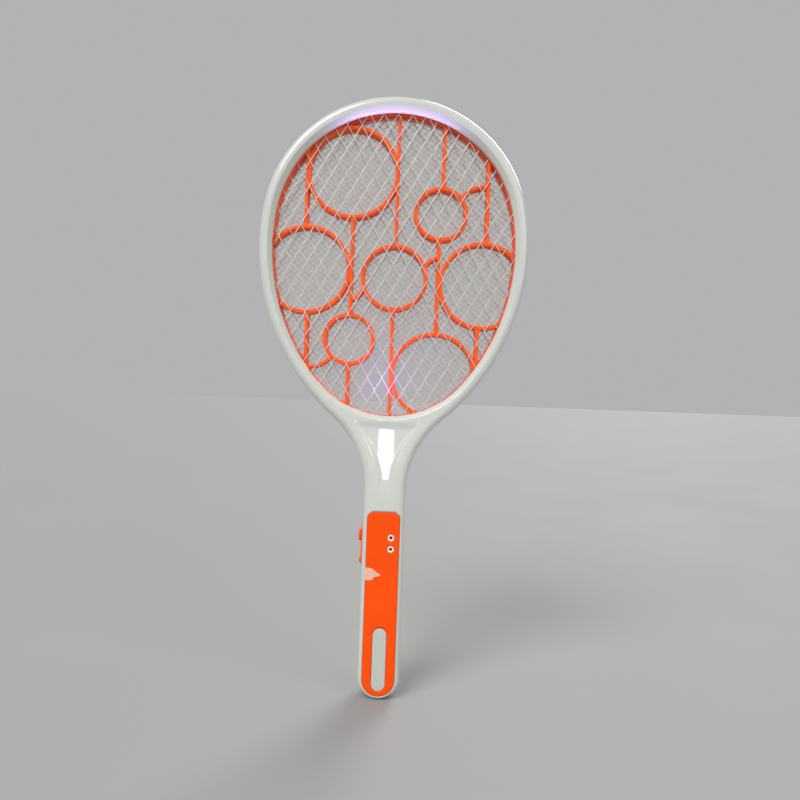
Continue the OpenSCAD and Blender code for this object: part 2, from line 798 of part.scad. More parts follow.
// Straight stretches of wire of radius r through the points p, with round bends
module wire(p, r) {
  for (i = [0:len(p) - 2]) let (d = p[i + 1] - p[i], l = norm(d))
    translate(p[i]) rotate([0, acos(d[2] / l), atan2(d[1], d[0])]) cylinder(r = r, h = l, $fn = 24);
  for (i = [1:len(p) - 2]) translate(p[i]) sphere(r = r + 0.06, $fn = 24);
}

lead_r = 0.7;
module battery_lead(side) {
  top = battery_low + battery_h;
  in_frame() wire([[side * 7, 0, top], [side * 7, 0, top + 3], [side * 10, 1.7, top + 7],
    [side * 10, 1.7, board_low + 5]], lead_r);
}

module battery_lead_plus() { color("#c02020") battery_lead(1); }
module battery_lead_minus() { color("#202020") battery_lead(-1); }

// ---- charging inlet ----
inlet_mouth = 2.3;      // height of the housing's lower end
inlet_floor = 12.7;     // height of the recess' floor
inlet_back = 15.3;      // height of the housing's upper end
pin_tip = 4.2;
pin_taper = 0.6;
pin_root_d = 3;
module inlet_housing() {
  color("#1c1c1e") in_frame() difference() {
    translate([0, 0, inlet_mouth]) linear_extrude(height = inlet_back - inlet_mouth)
      inlet_shape(inlet_hole_r - air);
    translate([0, 0, inlet_mouth - 1]) linear_extrude(height = inlet_floor - inlet_mouth + 1)
      inlet_shape(inlet_hole_r - 1);
    for (y = [-inlet_pitch / 2, inlet_pitch / 2]) translate([0, y, 0])
      cylinder(d = pin_root_d, h = 30);
  }
}

module inlet_pin(side) {
  color("#c9c9c4") in_frame() translate([0, side * inlet_pitch / 2, 0]) {
    translate([0, 0, pin_tip + pin_taper])
      cylinder(d = inlet_pin_d, h = inlet_floor - pin_tip - pin_taper);
    translate([0, 0, pin_tip]) cylinder(d1 = inlet_pin_d - 1, d2 = inlet_pin_d, h = pin_taper);
    translate([0, 0, inlet_floor]) cylinder(d = pin_root_d, h = inlet_back - inlet_floor);
    translate([0, 0, inlet_back]) cylinder(d = 1.6, h = 3);
  }
}

module inlet_pin_front() { inlet_pin(-1); }
module inlet_pin_rear() { inlet_pin(1); }

// ---- grid contacts and leads ----
contact_low = opening_low - pocket - rib - wall - 2;
// Brass strip at depth y that reaches from below the rib up under a grid's edge
module contact_strip(x, y, t) {
  color("#c8a24a") in_frame() block([x - contact_w / 2, y, contact_low],
    [x + contact_w / 2, y + t, opening_low - ring_out - 0.1]);
}

module inner_contact() { contact_strip(-contact_x, -inner_half, grid_t); }
module front_contact() { contact_strip(contact_x, -outer_grid_y - grid_t, grid_t); }
module rear_contact() { contact_strip(contact_x, outer_grid_y, grid_t); }

module inner_grid_lead() {
  color("#c02020") in_frame() wire([[-contact_x, 0, contact_low], [-contact_x, 0, contact_low - 14],
    [-7, 1.8, 186], [-7, 1.8, board_high - 3]], lead_r);
}

module outer_grid_lead() {
  y = outer_grid_y + grid_t / 2;
  color("#202020") in_frame() {
    wire([[contact_x, -y, contact_low], [contact_x, -y, contact_low - 4],
      [contact_x, 0, contact_low - 16], [7, 1.8, 186], [7, 1.8, board_high - 3]], lead_r);
    wire([[contact_x, y, contact_low], [contact_x, y, contact_low - 4],
      [contact_x, 0, contact_low - 16]], lead_r);
  }
}

// ---- screws ----
module screw(p) {
  difference() {
    union() {
      post(p[0], p[1], screw_r, -screw_seat, screw_tip);
      post(p[0], p[1], screw_head_r, -screw_seat - screw_head_t, -screw_seat);
    }
    for (a = [0, 90]) translate([p[0], screw_seat + screw_head_t, p[1]]) rotate([0, a, 0])
      cube([2.8, 1.6, 0.6], center = true);
  }
}

module head_screws() {
  color("#8f9296") in_frame() for (p = head_screw_spots) screw(p);
}

module handle_screws() {
  color("#8f9296") in_frame() for (p = handle_screw_spots) screw(p);
}

front_shell();
rear_shell();
front_grid();
front_lattice();
inner_grid();
rear_lattice();
rear_grid();
grip_panel();
seal_scrap();
lamp_lens();
lamp_board();
lamp_leds();
indicator_ring_upper();
indicator_ring_lower();
indicator_led_upper();
indicator_led_lower();
switch_bezel();
mode_thumb();
switch_lever();
slide_switch();
push_button();
tact_plunger();
tact_switch();
lure_led_left();
lure_led_right();
lure_board();
circuit_board();
transformer_core();
transformer_winding();
output_capacitor();
dropper_capacitor();
drive_transistor();
rectifier_diodes();
resistors();
battery();
battery_pad();
battery_lead_plus();
battery_lead_minus();
inlet_housing();
inlet_pin_front();
inlet_pin_rear();
inner_contact();
front_contact();
rear_contact();
inner_grid_lead();
outer_grid_lead();
head_screws();
handle_screws();
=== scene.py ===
# %% [markdown]
# # An electric fly swatter
# This lesson dresses a finished mechanical model. The mechanics come in as a fixed frame of
# named nodes; here they get smooth mouldings, expanded metal, a spacer lattice and finishes.
# Nothing in the frame is moved. A plain node is either given a material, or hidden and
# stood in for by a better surface that is worked out below with numpy.

# %% Load the frame
import json
import math
import bmesh
import bpy
import numpy as np
from mathutils import Matrix, Vector


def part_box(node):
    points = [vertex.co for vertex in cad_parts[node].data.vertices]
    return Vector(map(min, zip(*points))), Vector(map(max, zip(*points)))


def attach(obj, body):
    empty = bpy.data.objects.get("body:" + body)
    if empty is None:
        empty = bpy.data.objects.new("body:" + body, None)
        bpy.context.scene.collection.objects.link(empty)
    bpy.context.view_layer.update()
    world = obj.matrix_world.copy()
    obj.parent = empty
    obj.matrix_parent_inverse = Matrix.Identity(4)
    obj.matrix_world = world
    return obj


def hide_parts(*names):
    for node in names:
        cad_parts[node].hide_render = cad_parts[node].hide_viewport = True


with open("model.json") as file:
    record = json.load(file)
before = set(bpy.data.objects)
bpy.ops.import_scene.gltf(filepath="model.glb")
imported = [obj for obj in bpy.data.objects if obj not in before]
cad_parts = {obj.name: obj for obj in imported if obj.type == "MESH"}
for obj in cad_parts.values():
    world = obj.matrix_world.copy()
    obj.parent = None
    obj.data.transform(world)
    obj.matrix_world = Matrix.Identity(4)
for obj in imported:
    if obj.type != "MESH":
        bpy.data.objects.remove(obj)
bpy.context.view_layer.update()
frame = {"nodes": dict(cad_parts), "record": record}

# %% [markdown]
# ## The sizes that everything hangs from
# All drawing is done in millimetres with X to the right and Z up, and turned into metres at
# the very end. The overall sizes are read from the frame's boxes, so that the looks follow the
# mechanics. The radii are those of the outline: three tangent arcs on each side of the opening,
# and a crown, a flank and a hollow neck arc on each side of the racket.

# %% Overall sizes
MM = 0.001
shell_low, shell_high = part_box("front_shell")
OVERALL = 490.0
TOP = shell_high.z / MM
BUTT = TOP - OVERALL
DEPTH = -shell_low.y / MM
HALF_W = 17.0
EDGE = 6.0
CROWN_R, FLANK_R = 98.0, 170.0
CROWN_END, FLANK_END = 80.0, 130.0
FRAME_W, CROWN_EXTRA, FLANK_EXTRA = 10.5, 2.0, 3.5
NECK_R = 78.0
LIP_W, LIP_DROP = 3.4, 3.6
print("butt at %.1f, top at %.1f, half depth %.1f mm" % (BUTT, TOP, DEPTH))


# %% [markdown]
# ## Outlines as headings
# A racket's outline is a chain of arcs that share their tangents where they meet. Such a chain is
# easy to write by heading: 0 points straight up and 90 to the right, and each stretch of headings
# has its own centre and radius. Growing the outline only changes the radius, which is why arcs
# are handier than Bezier curves when a wall, a lip and a groove must stay parallel.

# %% Arcs by heading
def on_arc(centre, radius, heading):
    """Points at a distance radius from centre: x = cx + r sin(heading), z = cz + r cos(heading)."""
    a = np.radians(heading)
    return np.stack([centre[0] + radius * np.sin(a), centre[1] + radius * np.cos(a)], -1)


def next_centre(centre, change, heading):
    """Centre of the next tangent arc: the old one moved along the shared heading by the change of radius."""
    return on_arc(np.array(centre, float), change, heading)


open_top = TOP - FRAME_W - CROWN_EXTRA
crown_c = np.array([0.0, open_top - CROWN_R])
flank_c = next_centre(crown_c, CROWN_R - FLANK_R, CROWN_END)
chin_gap = -flank_c[0] / math.sin(math.radians(FLANK_END))
chin_r = FLANK_R - chin_gap
chin_c = next_centre(flank_c, chin_gap, FLANK_END)
open_low = chin_c[1] - chin_r
open_mid = (open_top + open_low) / 2
open_half = flank_c[0] + FLANK_R
print("opening: %.1f wide, %.1f to %.1f high" % (2 * open_half, open_low, open_top))


def opening(heading, grow=0.0):
    """The opening's edge at headings 0..360, moved outwards by grow; the left side mirrors the right one."""
    h = np.asarray(heading, float) % 360
    side = np.where(h > 180, -1.0, 1.0)
    h = np.where(h > 180, 360 - h, h)
    crown, flank = h <= CROWN_END, h <= FLANK_END
    cx = np.where(crown, crown_c[0], np.where(flank, flank_c[0], chin_c[0]))
    cz = np.where(crown, crown_c[1], np.where(flank, flank_c[1], chin_c[1]))
    r = np.where(crown, CROWN_R, np.where(flank, FLANK_R, chin_r)) + grow
    a = np.radians(h)
    return np.stack([side * (cx + r * np.sin(a)), cz + r * np.cos(a)], -1)


def past_opening(x, z):
    """Signed distance outside the opening's edge, by the arc whose sector holds the point."""
    ax = np.abs(x)
    crown = np.degrees(np.arctan2(ax - crown_c[0], z - crown_c[1])) <= CROWN_END
    flank = np.degrees(np.arctan2(ax - flank_c[0], z - flank_c[1])) <= FLANK_END
    return np.where(
        crown, np.hypot(ax, z - crown_c[1]) - CROWN_R,
        np.where(flank, np.hypot(ax - flank_c[0], z - flank_c[1]) - FLANK_R,
                 np.hypot(ax, z - chin_c[1]) - chin_r))


# %% [markdown]
# ## The racket's own outline, as stations
# The moulding is drawn along stations that run from the butt, up one side, to the top. Each
# station has a point on the outline, the direction inwards, and a foot: the point that the face
# reaches to from there. On the handle the foot is on the middle line; up the neck it climbs to
# the chin of the opening, then runs round it, and from there on each ruling stands square to the
# opening. One family of straight rulings covers the whole face, and none of them cross.

# %% Stations of the right half
butt_c = np.array([0.0, BUTT + HALF_W])
out_crown_r = CROWN_R + FRAME_W
out_crown_c = np.array([0.0, TOP - out_crown_r])
out_flank_r = FLANK_R + FRAME_W + FLANK_EXTRA
out_flank_c = next_centre(out_crown_c, out_crown_r - out_flank_r, CROWN_END)
neck_dx = HALF_W + NECK_R - out_flank_c[0]
neck_dz = math.sqrt((out_flank_r + NECK_R) ** 2 - neck_dx ** 2)
neck_c = np.array([HALF_W + NECK_R, out_flank_c[1] - neck_dz])
neck_heading = 90 + math.degrees(math.atan2(neck_dz, neck_dx))
SPACING = 2.0
# on the neck, feet climb the middle line until the face's edge is this far below the lip
CHIN_ROOM = LIP_W + 3.0
leave = 360 - math.degrees(math.acos((open_low - CHIN_ROOM - neck_c[1]) / (NECK_R + EDGE)))


def headings(radius, start, end):
    """Headings from start to end, about SPACING millimetres apart on the arc."""
    n = max(2, int(round(abs(math.radians(end - start)) * radius / SPACING)))
    return np.linspace(start, end, n + 1)


def square_on(points):
    """Heading of the place on the opening that is nearest each point, by the sector that holds it."""
    def about(centre):
        return np.degrees(np.arctan2(points[:, 0] - centre[0], points[:, 1] - centre[1]))
    by_crown, by_flank, by_chin = about(crown_c), about(flank_c), about(chin_c)
    return np.where(by_crown <= CROWN_END, by_crown, np.where(by_flank <= FLANK_END, by_flank, by_chin))


def stations():
    """Outline points, inward directions, foot heights on the middle line and foot headings on the opening."""
    h = headings(HALF_W, 180, 90)
    butt = on_arc(butt_c, HALF_W, h)
    butt_in = -on_arc((0, 0), 1, h)
    z = np.linspace(butt_c[1], neck_c[1], int((neck_c[1] - butt_c[1]) / SPACING) + 1)[1:-1]
    side = np.stack([np.full_like(z, HALF_W), z], -1)
    side_in = np.tile([-1.0, 0.0], (len(z), 1))
    lower, upper = headings(NECK_R, 270, leave), headings(NECK_R, leave, neck_heading + 180)[1:]
    h = np.concatenate([lower, upper])
    neck = on_arc(neck_c, NECK_R, h)
    neck_in = on_arc((0, 0), 1, h)
    climb = (lower - lower[0]) / (lower[-1] - lower[0])
    h = np.concatenate([headings(out_flank_r, neck_heading, CROWN_END)[1:],
                        headings(out_crown_r, CROWN_END, 0)[1:]])
    on_crown = (h <= CROWN_END)[:, None]
    head = np.where(on_crown, on_arc(out_crown_c, out_crown_r, h), on_arc(out_flank_c, out_flank_r, h))
    head_in = -on_arc((0, 0), 1, h)
    chin_end = square_on(neck[-1:] + EDGE * neck_in[-1:])[0]
    on_chin = 180 + (chin_end - 180) * (upper - leave) / (upper[-1] - leave)
    foot_h = np.concatenate([[180.0], on_chin, square_on(head + EDGE * head_in)])
    foot_h[-1] = 0.0
    points = np.concatenate([butt, side, neck, head])
    towards = np.concatenate([butt_in, side_in, neck_in, head_in])
    heights = np.concatenate([butt + EDGE * butt_in, side])[:, 1]
    return points, towards, heights, climb, foot_h


outline, inward, handle_feet, neck_climb, foot_headings = stations()
print("stations on half the racket:", len(outline))


def feet(grow):
    """Feet of all stations: up the middle line to the chin, then round the opening, grown by grow."""
    neck = neck_c[1] + neck_climb * (open_low - grow - neck_c[1])
    heights = np.concatenate([handle_feet, neck])
    return np.concatenate([np.stack([0 * heights, heights], -1), opening(foot_headings[1:], grow)])


# %% [markdown]
# ## Putting arrays into meshes
# Every surface below is a grid of points: an array of rows by columns by three. This helper turns
# any number of such grids into one mesh. The grids may close on themselves along the rows or the
# columns, and points that fall together, as at a pole or a shared edge, are welded.

# %% Grids to meshes
def grid_faces(rows, cols, wrap_rows=False, wrap_cols=False):
    """Four corners of each cell of a grid, as indices that count along the rows."""
    i = np.arange(rows if wrap_rows else rows - 1)[:, None]
    j = np.arange(cols if wrap_cols else cols - 1)[None, :]
    i2, j2 = (i + 1) % rows, (j + 1) % cols
    cells = [i * cols + j, i * cols + j2, i2 * cols + j2, i2 * cols + j]
    return np.stack([np.broadcast_to(c, (len(i), j.size)).ravel() for c in cells], -1)


def build(name, grids, sharp=32, outward=True):
    """One mesh object from grids of points in millimetres; each grid is (points, wrap rows, wrap columns)."""
    verts, faces, base = [], [], 0
    for points, wrap_rows, wrap_cols in grids:
        rows, cols = points.shape[:2]
        verts.append(points.reshape(-1, 3))
        faces.append(grid_faces(rows, cols, wrap_rows, wrap_cols) + base)
        base += rows * cols
    mesh = bpy.data.meshes.new(name)
    mesh.from_pydata((np.concatenate(verts) * MM).tolist(), [], np.concatenate(faces).tolist())
    bm = bmesh.new()
    bm.from_mesh(mesh)
    bmesh.ops.remove_doubles(bm, verts=bm.verts, dist=2e-6)
    bmesh.ops.dissolve_degenerate(bm, edges=bm.edges, dist=1e-7)
    if outward:
        bmesh.ops.recalc_face_normals(bm, faces=bm.faces)
    bm.to_mesh(mesh)
    bm.free()
    mesh.shade_smooth()
    mesh.set_sharp_from_angle(angle=math.radians(sharp))
    obj = bpy.data.objects.new(name, mesh)
    bpy.context.scene.collection.objects.link(obj)
    return obj


def settle(obj):
    """Bakes an object's modifiers into its mesh and drops them."""
    shown = obj.evaluated_get(bpy.context.evaluated_depsgraph_get())
    mesh = bpy.data.meshes.new_from_object(shown)
    obj.modifiers.clear()
    obj.data = mesh
    return obj


def cut(obj, cutter):
    """Takes the cutter out of the object and removes the cutter."""
    mod = obj.modifiers.new("cut", "BOOLEAN")
    mod.operation = "DIFFERENCE"
    mod.solver = "EXACT"
    mod.object = cutter
    cutter.hide_render = True
    settle(obj)
    bpy.data.objects.remove(cutter)
    return obj


def facing_front(points):
    """Turns (x, z, depth) into a point of the frame, where depth is measured towards the front."""
    return np.stack([points[..., 0], -points[..., 2], points[..., 1]], -1)


def facing_left(points):
    """Turns (along Y, z, distance to the left) into a point of the frame."""
    return np.stack([-points[..., 2], points[..., 0], points[..., 1]], -1)


# %% [markdown]
# ## A section carried round an outline
# Plates, rings, lenses, buttons and frames are all the same idea: a section of (inset, height)
# pairs is carried round an outline, and the outline shrinks as the inset grows. Insets that reach
# the outline's middle close the piece. This is what a lathe does for round parts, and it works
# as well for a stadium or a rounded panel.

# %% Section round an outline
def carried(shape, section, closed=False, place=facing_front):
    """Grid whose row k is the outline at inset section[k][0], at the height section[k][1]."""
    rows = []
    for inset, height in section:
        flat = shape(inset)
        rows.append(np.concatenate([flat, np.full((len(flat), 1), float(height))], 1))
    return place(np.array(rows)), closed, True


def circle(centre, radius, n=48):
    """Outline function of a circle."""
    turn = np.arange(n) * 360 / n
    return lambda inset: on_arc(centre, max(radius - inset, 0.0), turn)


def stadium(centre_low, centre_high, radius, n=16):
    """Outline function of a stadium whose two ends are centred at centre_low and centre_high."""
    up = np.linspace(-90, 90, n + 1)
    return lambda inset: np.concatenate([
        on_arc(centre_high, max(radius - inset, 0.0), up),
        on_arc(centre_low, max(radius - inset, 0.0), up + 180)])


def rounded(low, high, radius, steps=4):
    """Quarter-round of a section, from a side wall at (0, low) to a top at (radius, high)."""
    a = np.radians(np.linspace(0, 90, steps + 1))
    return [(0, low)] + [(radius * (1 - math.cos(t)), high - radius * (1 - math.sin(t))) for t in a]


# %% [markdown]
# ## The depth of the moulding
# The shell's face is a height above the parting plane. It falls away at the outer edge along a
# quarter round, and it is sunk in a tapering channel that leads from the handle up to the
# opening. A height that depends only on distances keeps every rounding true however the grid
# underneath is laid out.

# %% Channel in the neck
CHANNEL_LOW, CHANNEL_HIGH = BUTT + 160.0, BUTT + 226.5
CHANNEL_DEPTH = 1.0
CHANNEL_MOUTH, CHANNEL_TAIL = 19.5, 4.6   # half widths at the mouth and at the throat
THROAT, MOUTH = BUTT + 182, BUTT + 217    # heights of the throat and the mouth
FADE_LOW, FADE_HIGH = 45, 7               # lengths over which the two ends fade out
SHOULDER = 3.2


def smooth(t):
    """Smooth step from 0 to 1: 3t^2 - 2t^3 on the clipped t."""
    t = np.clip(t, 0, 1)
    return t * t * (3 - 2 * t)


def channel_half_width(z):
    """Half width of the channel: a tail that opens out as the square of the height above its throat."""
    rise = np.clip((z - THROAT) / (MOUTH - THROAT), 0, 1.4)
    return CHANNEL_TAIL + (CHANNEL_MOUTH - CHANNEL_TAIL) * (0.35 * rise + 0.65 * rise ** 2)


def channel(x, z):
    """Depth of the sunk channel: across it a flat floor between two shoulders, along it a slow fade."""
    across = smooth((channel_half_width(z) + SHOULDER / 2 - np.abs(x)) / SHOULDER)
    along = smooth((z - CHANNEL_LOW) / FADE_LOW) * smooth((CHANNEL_HIGH - z) / FADE_HIGH)
    return CHANNEL_DEPTH * across * along


def roll(inset):
    """Fall of the face at a distance inset from the outline: a quarter ellipse, EDGE wide and EDGE deep."""
    t = np.clip(1 - inset / EDGE, 0, 1)
    return EDGE * (1 - np.sqrt(1 - t * t))


def handle_height(x, z):
    """Height of the face on the handle, where the outline is a straight side over a round butt."""
    below = z < butt_c[1]
    inset = np.where(below, HALF_W - np.hypot(x, z - butt_c[1]), HALF_W - np.abs(x))
    return DEPTH - roll(inset)


# %% [markdown]
# ## The two shells
# A shell is an outer skin and an inner one, a wall apart. Each skin has three bands: the side
# wall with its rolled edge, which follows the outline; the face, which runs along the rulings;
# and, on the head only, the lip that drops into the opening. A Solidify modifier would fold
# over itself under the tight lip, so the inner skin is drawn with its own radii instead. The
# real mouldings meet at a fine parting groove, so the outer wall starts with a small chamfer.

# %% Bands of a shell
PART_LINE = 0.22
WALL = 1.9
lip_wall = 6.5           # depth at which the lip's wall ends, just in front of the outer grid
LEAN = LIP_W / LIP_DROP  # how far the lip's slope runs out for each millimetre of depth
SIDE_TOP = 3.5           # depth up to which the side wall is straight before its edge rolls over


def edge_section(wall):
    """Section (inset, depth) of the side wall and its rolled edge, for the skin at a depth wall inside."""
    a = np.radians(np.linspace(0, 90, 9))
    radius = EDGE - wall
    start = [(wall, 0), (wall, SIDE_TOP)] if wall else [(PART_LINE, 0), (0, PART_LINE), (0, SIDE_TOP)]
    return start + list(zip(wall + radius * (1 - np.cos(a)), DEPTH - wall - radius * (1 - np.sin(a))))


def lip_section(wall):
    """Section (grow, depth) of the lip: brow, slope, foot and wall; the inner skin has sharp corners."""
    def bend(a, b, c):
        t = np.linspace(0, 1, 5)[:, None]
        return (1 - t) ** 2 * np.array(a) + 2 * t * (1 - t) * np.array(b) + t ** 2 * np.array(c)
    shift = wall * math.hypot(1, LEAN)
    brow_depth, foot_depth = DEPTH - wall, DEPTH - LIP_DROP + (wall - shift) / LEAN
    brow = (brow_depth - DEPTH + LIP_DROP) * LEAN + shift
    if wall:
        return np.array([(brow, brow_depth), (wall, foot_depth), (wall, lip_wall)])
    return np.concatenate([
        bend((brow + 0.5, brow_depth), (brow, brow_depth), (brow - 0.45, brow_depth - 0.45 / LEAN)),
        bend((0.5, foot_depth + 0.5 / LEAN), (0, foot_depth), (0, foot_depth - 0.7)),
        [(0, lip_wall)]])


def edge_band(section):
    """The section (inset, depth) carried along the stations' outline."""
    return np.stack([np.concatenate([outline + inset * inward, np.full((len(outline), 1), depth)], 1)
                     for inset, depth in section], 1)


def lip_band(section):
    """The section (grow, depth) carried round the opening, at the head stations' feet."""
    return np.stack([np.concatenate([opening(foot_headings, grow), np.full((len(foot_headings), 1), d)], 1)
                     for grow, d in section], 1)


def face_band(channelled, wall):
    """Face from the rolled edge to the feet; its columns bunch up at the channel's shoulder."""
    start = outline + EDGE * inward
    reach = feet(lip_section(wall)[0][0]) - start
    length = np.maximum(np.hypot(reach[:, 0], reach[:, 1]), 1e-6)
    run = np.minimum(reach[:, 0], -1e-6)
    meet = np.full(len(start), 0.5)
    for _ in range(12):
        meet = np.clip((channel_half_width(start[:, 1] + meet * reach[:, 1]) - start[:, 0]) / run, 0, 1)
    near = SHOULDER * np.array([0.75, 0.5, 0.25, 0, -0.25, -0.5, -0.75])
    shoulder = 1 - meet[:, None] + near / length[:, None]
    to_shoulder = np.linspace(0, 1, 4)[None, :-1] * (1 - shoulder[:, :1])
    to_middle = 1 - shoulder[:, -1:] * np.linspace(1, 0, 5)[None, 1:]
    bunched = np.concatenate([to_shoulder, 1 - shoulder, to_middle], 1)
    even = np.linspace(0, 1, bunched.shape[1])[None, :]
    fits = (shoulder[:, :1] < 0.93) & (shoulder[:, -1:] > 0.02)
    share = np.where(fits, bunched, even)
    flat = start[:, None, :] + reach[:, None, :] * share[..., None]
    depth = np.full(flat.shape[:2], DEPTH - wall)
    if channelled:
        depth = depth - channel(flat[..., 0], flat[..., 1])
    return np.concatenate([flat, depth[..., None]], 2)


def shell(name, channelled, flip):
    """Both skins and both sides of a shell, closed at the parting plane and at the foot of the lip."""
    bands = [edge_band([(WALL, 0), (PART_LINE, 0)]), lip_band([(0, lip_wall), (WALL, lip_wall)])]
    for wall in (0, WALL):
        bands += [edge_band(edge_section(wall)), face_band(channelled, wall), lip_band(lip_section(wall))]
    grids = []
    for band in bands:
        for side in (1, -1):
            grids.append((facing_front(band * [side, 1, 1]) * [1, flip, 1], False, False))
    return build(name, grids)


# %% [markdown]
# ## What is cut out of the shells
# Holes are simplest as one joined cutter and one exact boolean. The front loses the panel's
# shallow pocket, the lamp window, the indicator holes and the two holes in the chin that the
# lure lights shine through. Both lose their halves of the side bezel's window and of the
# charging inlet in the butt, and the rear loses the wells of its screws.

# %% Panel, lamp and cutters
PANEL_HALF, PANEL_TOP, PANEL_CORNER = 13.3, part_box("grip_panel")[1].z / MM, 5.5
LENS_HALF = 5.65
lens_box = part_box("lamp_lens")
lens_low = (butt_c[0], lens_box[0].z / MM + 0.8 + LENS_HALF)
lens_high = (butt_c[0], lens_box[1].z / MM - 0.8 - LENS_HALF)


def panel_shape(inset):
    """The panel's outline: a half round below, straight sides, and two smaller rounds above."""
    half = max(PANEL_HALF - inset, 0.0)
    corner = min(max(PANEL_CORNER - inset, 0.0), half)
    top = PANEL_TOP - inset - corner
    low = on_arc(butt_c, half, np.linspace(90, 270, 49))
    climb = np.linspace(0, 1, 40)[1:-1, None]
    side = np.concatenate([np.zeros_like(climb), butt_c[1] + (top - butt_c[1]) * climb], 1)
    right = on_arc((half - corner, top), corner, np.linspace(0, 90, 9))
    left = on_arc((corner - half, top), corner, np.linspace(270, 360, 9))
    across = np.linspace(-1, 1, 12)[1:-1, None] * (half - corner)
    brow = np.concatenate([across, np.full_like(across, top + corner)], 1)
    return np.concatenate([low, side + [-half, 0], left, brow, right, (side + [half, 0])[::-1]])


def plug(shape, low, high, place=facing_front):
    """Closed prism of an outline between two heights; its two ends are fans that close on the middle."""
    middle = shape(0).mean(0)

    def flat(share):
        return middle + (shape(0) - middle) * share
    rows = [np.concatenate([flat(share), np.full((len(flat(0)), 1), h)], 1)
            for share, h in ((0, low), (1, low), (1, high), (0, high))]
    return place(np.array(rows)), False, True


def upright(points):
    """Leaves (x, y, height) as it is: on pieces that stand along Z, that is a point of the frame."""
    return points


bezel_box = [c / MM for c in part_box("switch_bezel")]
bezel_half = (bezel_box[1].y - bezel_box[0].y) / 2
bezel_low, bezel_high = (0, bezel_box[0].z + bezel_half), (0, bezel_box[1].z - bezel_half)
ring_boxes = [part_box("indicator_ring_upper"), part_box("indicator_ring_lower")]
ring_spots = [((b[0].x + b[1].x) / 2 / MM, (b[0].z + b[1].z) / 2 / MM) for b in ring_boxes]
ring_r = (ring_boxes[0][1].x - ring_boxes[0][0].x) / 2 / MM
lure_boxes = [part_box("lure_led_left"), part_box("lure_led_right")]
lure_spots = [((b[0].x + b[1].x) / 2 / MM, (b[0].y + b[1].y) / 2 / MM) for b in lure_boxes]
lure_r = 1.65
inlet_box = [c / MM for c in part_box("inlet_housing")]
inlet_r = (inlet_box[1].x - inlet_box[0].x) / 2 + 0.2
# the window reaches round the rolled edge to where the frame's shell begins
inlet_reach = DEPTH - EDGE + math.sqrt(EDGE ** 2 - (EDGE - (shell_low.z / MM - BUTT)) ** 2) + 0.02
inlet_y = inlet_reach - inlet_r


def shared_windows():
    """The bezel's window in the left wall and the inlet's window in the butt."""
    bezel = stadium(bezel_low, bezel_high, bezel_half - 1.2)
    inlet = stadium((0, -inlet_y), (0, inlet_y), inlet_r)
    return [plug(bezel, HALF_W - 4, HALF_W + 2, facing_left),
            plug(inlet, BUTT - 2, BUTT + 5, upright)]


front_skin = shell("front_shell_skin", True, 1)
holes = [plug(stadium(lens_low, lens_high, LENS_HALF + 0.1), DEPTH - 6, DEPTH + 3)]
holes += [plug(circle(spot, ring_r - 0.4), DEPTH - 6, DEPTH + 3) for spot in ring_spots]
holes += [plug(circle((x, y), lure_r, 24), open_low - 12, open_low + 6, upright) for x, y in lure_spots]
cut(front_skin, build("cutter_front", holes + shared_windows()))
cut(front_skin, build("cutter_pocket", [plug(lambda inset: panel_shape(-0.22), DEPTH - 1.4, DEPTH + 2)]))
print("front shell:", len(front_skin.data.polygons), "faces")

rear_skin = shell("rear_shell_skin", False, -1)
cut(rear_skin, build("cutter_rear", shared_windows()))
print("rear shell:", len(rear_skin.data.polygons), "faces")


# %% [markdown]
# ## The orange panel
# The panel is a thin inlay that is flush with the shell round it, so it takes its height from the
# same roll as the handle. Its section runs up a small side wall, round a fine edge, and then
# across in steps that close on the panel's middle line. Windows for the lamp and the indicators
# are cut with one joined cutter, as in the shell.

# %% Panel
def domed(grid):
    """Lowers a grid of the frame's points by the handle's roll, so that a flat piece follows the handle."""
    points, wrap_rows, wrap_cols = grid
    fall = DEPTH - handle_height(points[..., 0], points[..., 2])
    lowered = points.copy()
    lowered[..., 1] += np.where(-points[..., 1] > DEPTH - 1.0, fall, np.minimum(fall, 0.6))
    return lowered, wrap_rows, wrap_cols


panel_section = [(PANEL_HALF, DEPTH - 1.3), (3.0, DEPTH - 1.3), (0, DEPTH - 1.3)]
panel_section += rounded(DEPTH - 1.1, DEPTH, 0.3)
panel_section += [(inset, DEPTH) for inset in (0.6, 1.0, 1.5, 2.0, 2.6, 3.4, 4.6, 6.5, 9.0, 11.5, PANEL_HALF)]
panel = build("grip_panel_inlay", [domed(carried(panel_shape, panel_section))])
cutters = [plug(stadium(lens_low, lens_high, LENS_HALF + 0.15), DEPTH - 3, DEPTH + 2)]
cutters += [plug(circle(spot, ring_r + 0.05), DEPTH - 3, DEPTH + 2) for spot in ring_spots]
cut(panel, build("cutter_panel", cutters))
print("panel:", len(panel.data.polygons), "faces")

# %% [markdown]
# ## Lamp lens, indicators and the torn seal
# The lens is a frosted stadium with a soft crown, standing a hair above the panel. Each indicator
# is a white ring with a dark domed LED in it. A torn corner of a paper seal clings to the panel's
# left edge: it is a ruled sheet whose two edges run together in a tip, with a little ragged
# wave along the tear, and it lifts slightly where the glue has let go.

# %% Lens and indicators
lens_section = [(LENS_HALF, DEPTH - 2.4), (0, DEPTH - 2.4)]
lens_section += rounded(DEPTH - 1.0, DEPTH - 0.1, 0.5)
lens_section += [(1.2, DEPTH - 0.03), (2.4, DEPTH + 0.04), (4.0, DEPTH + 0.08), (LENS_HALF, DEPTH + 0.09)]
lens = build("lamp_lens_frosted", [carried(stadium(lens_low, lens_high, LENS_HALF), lens_section)])

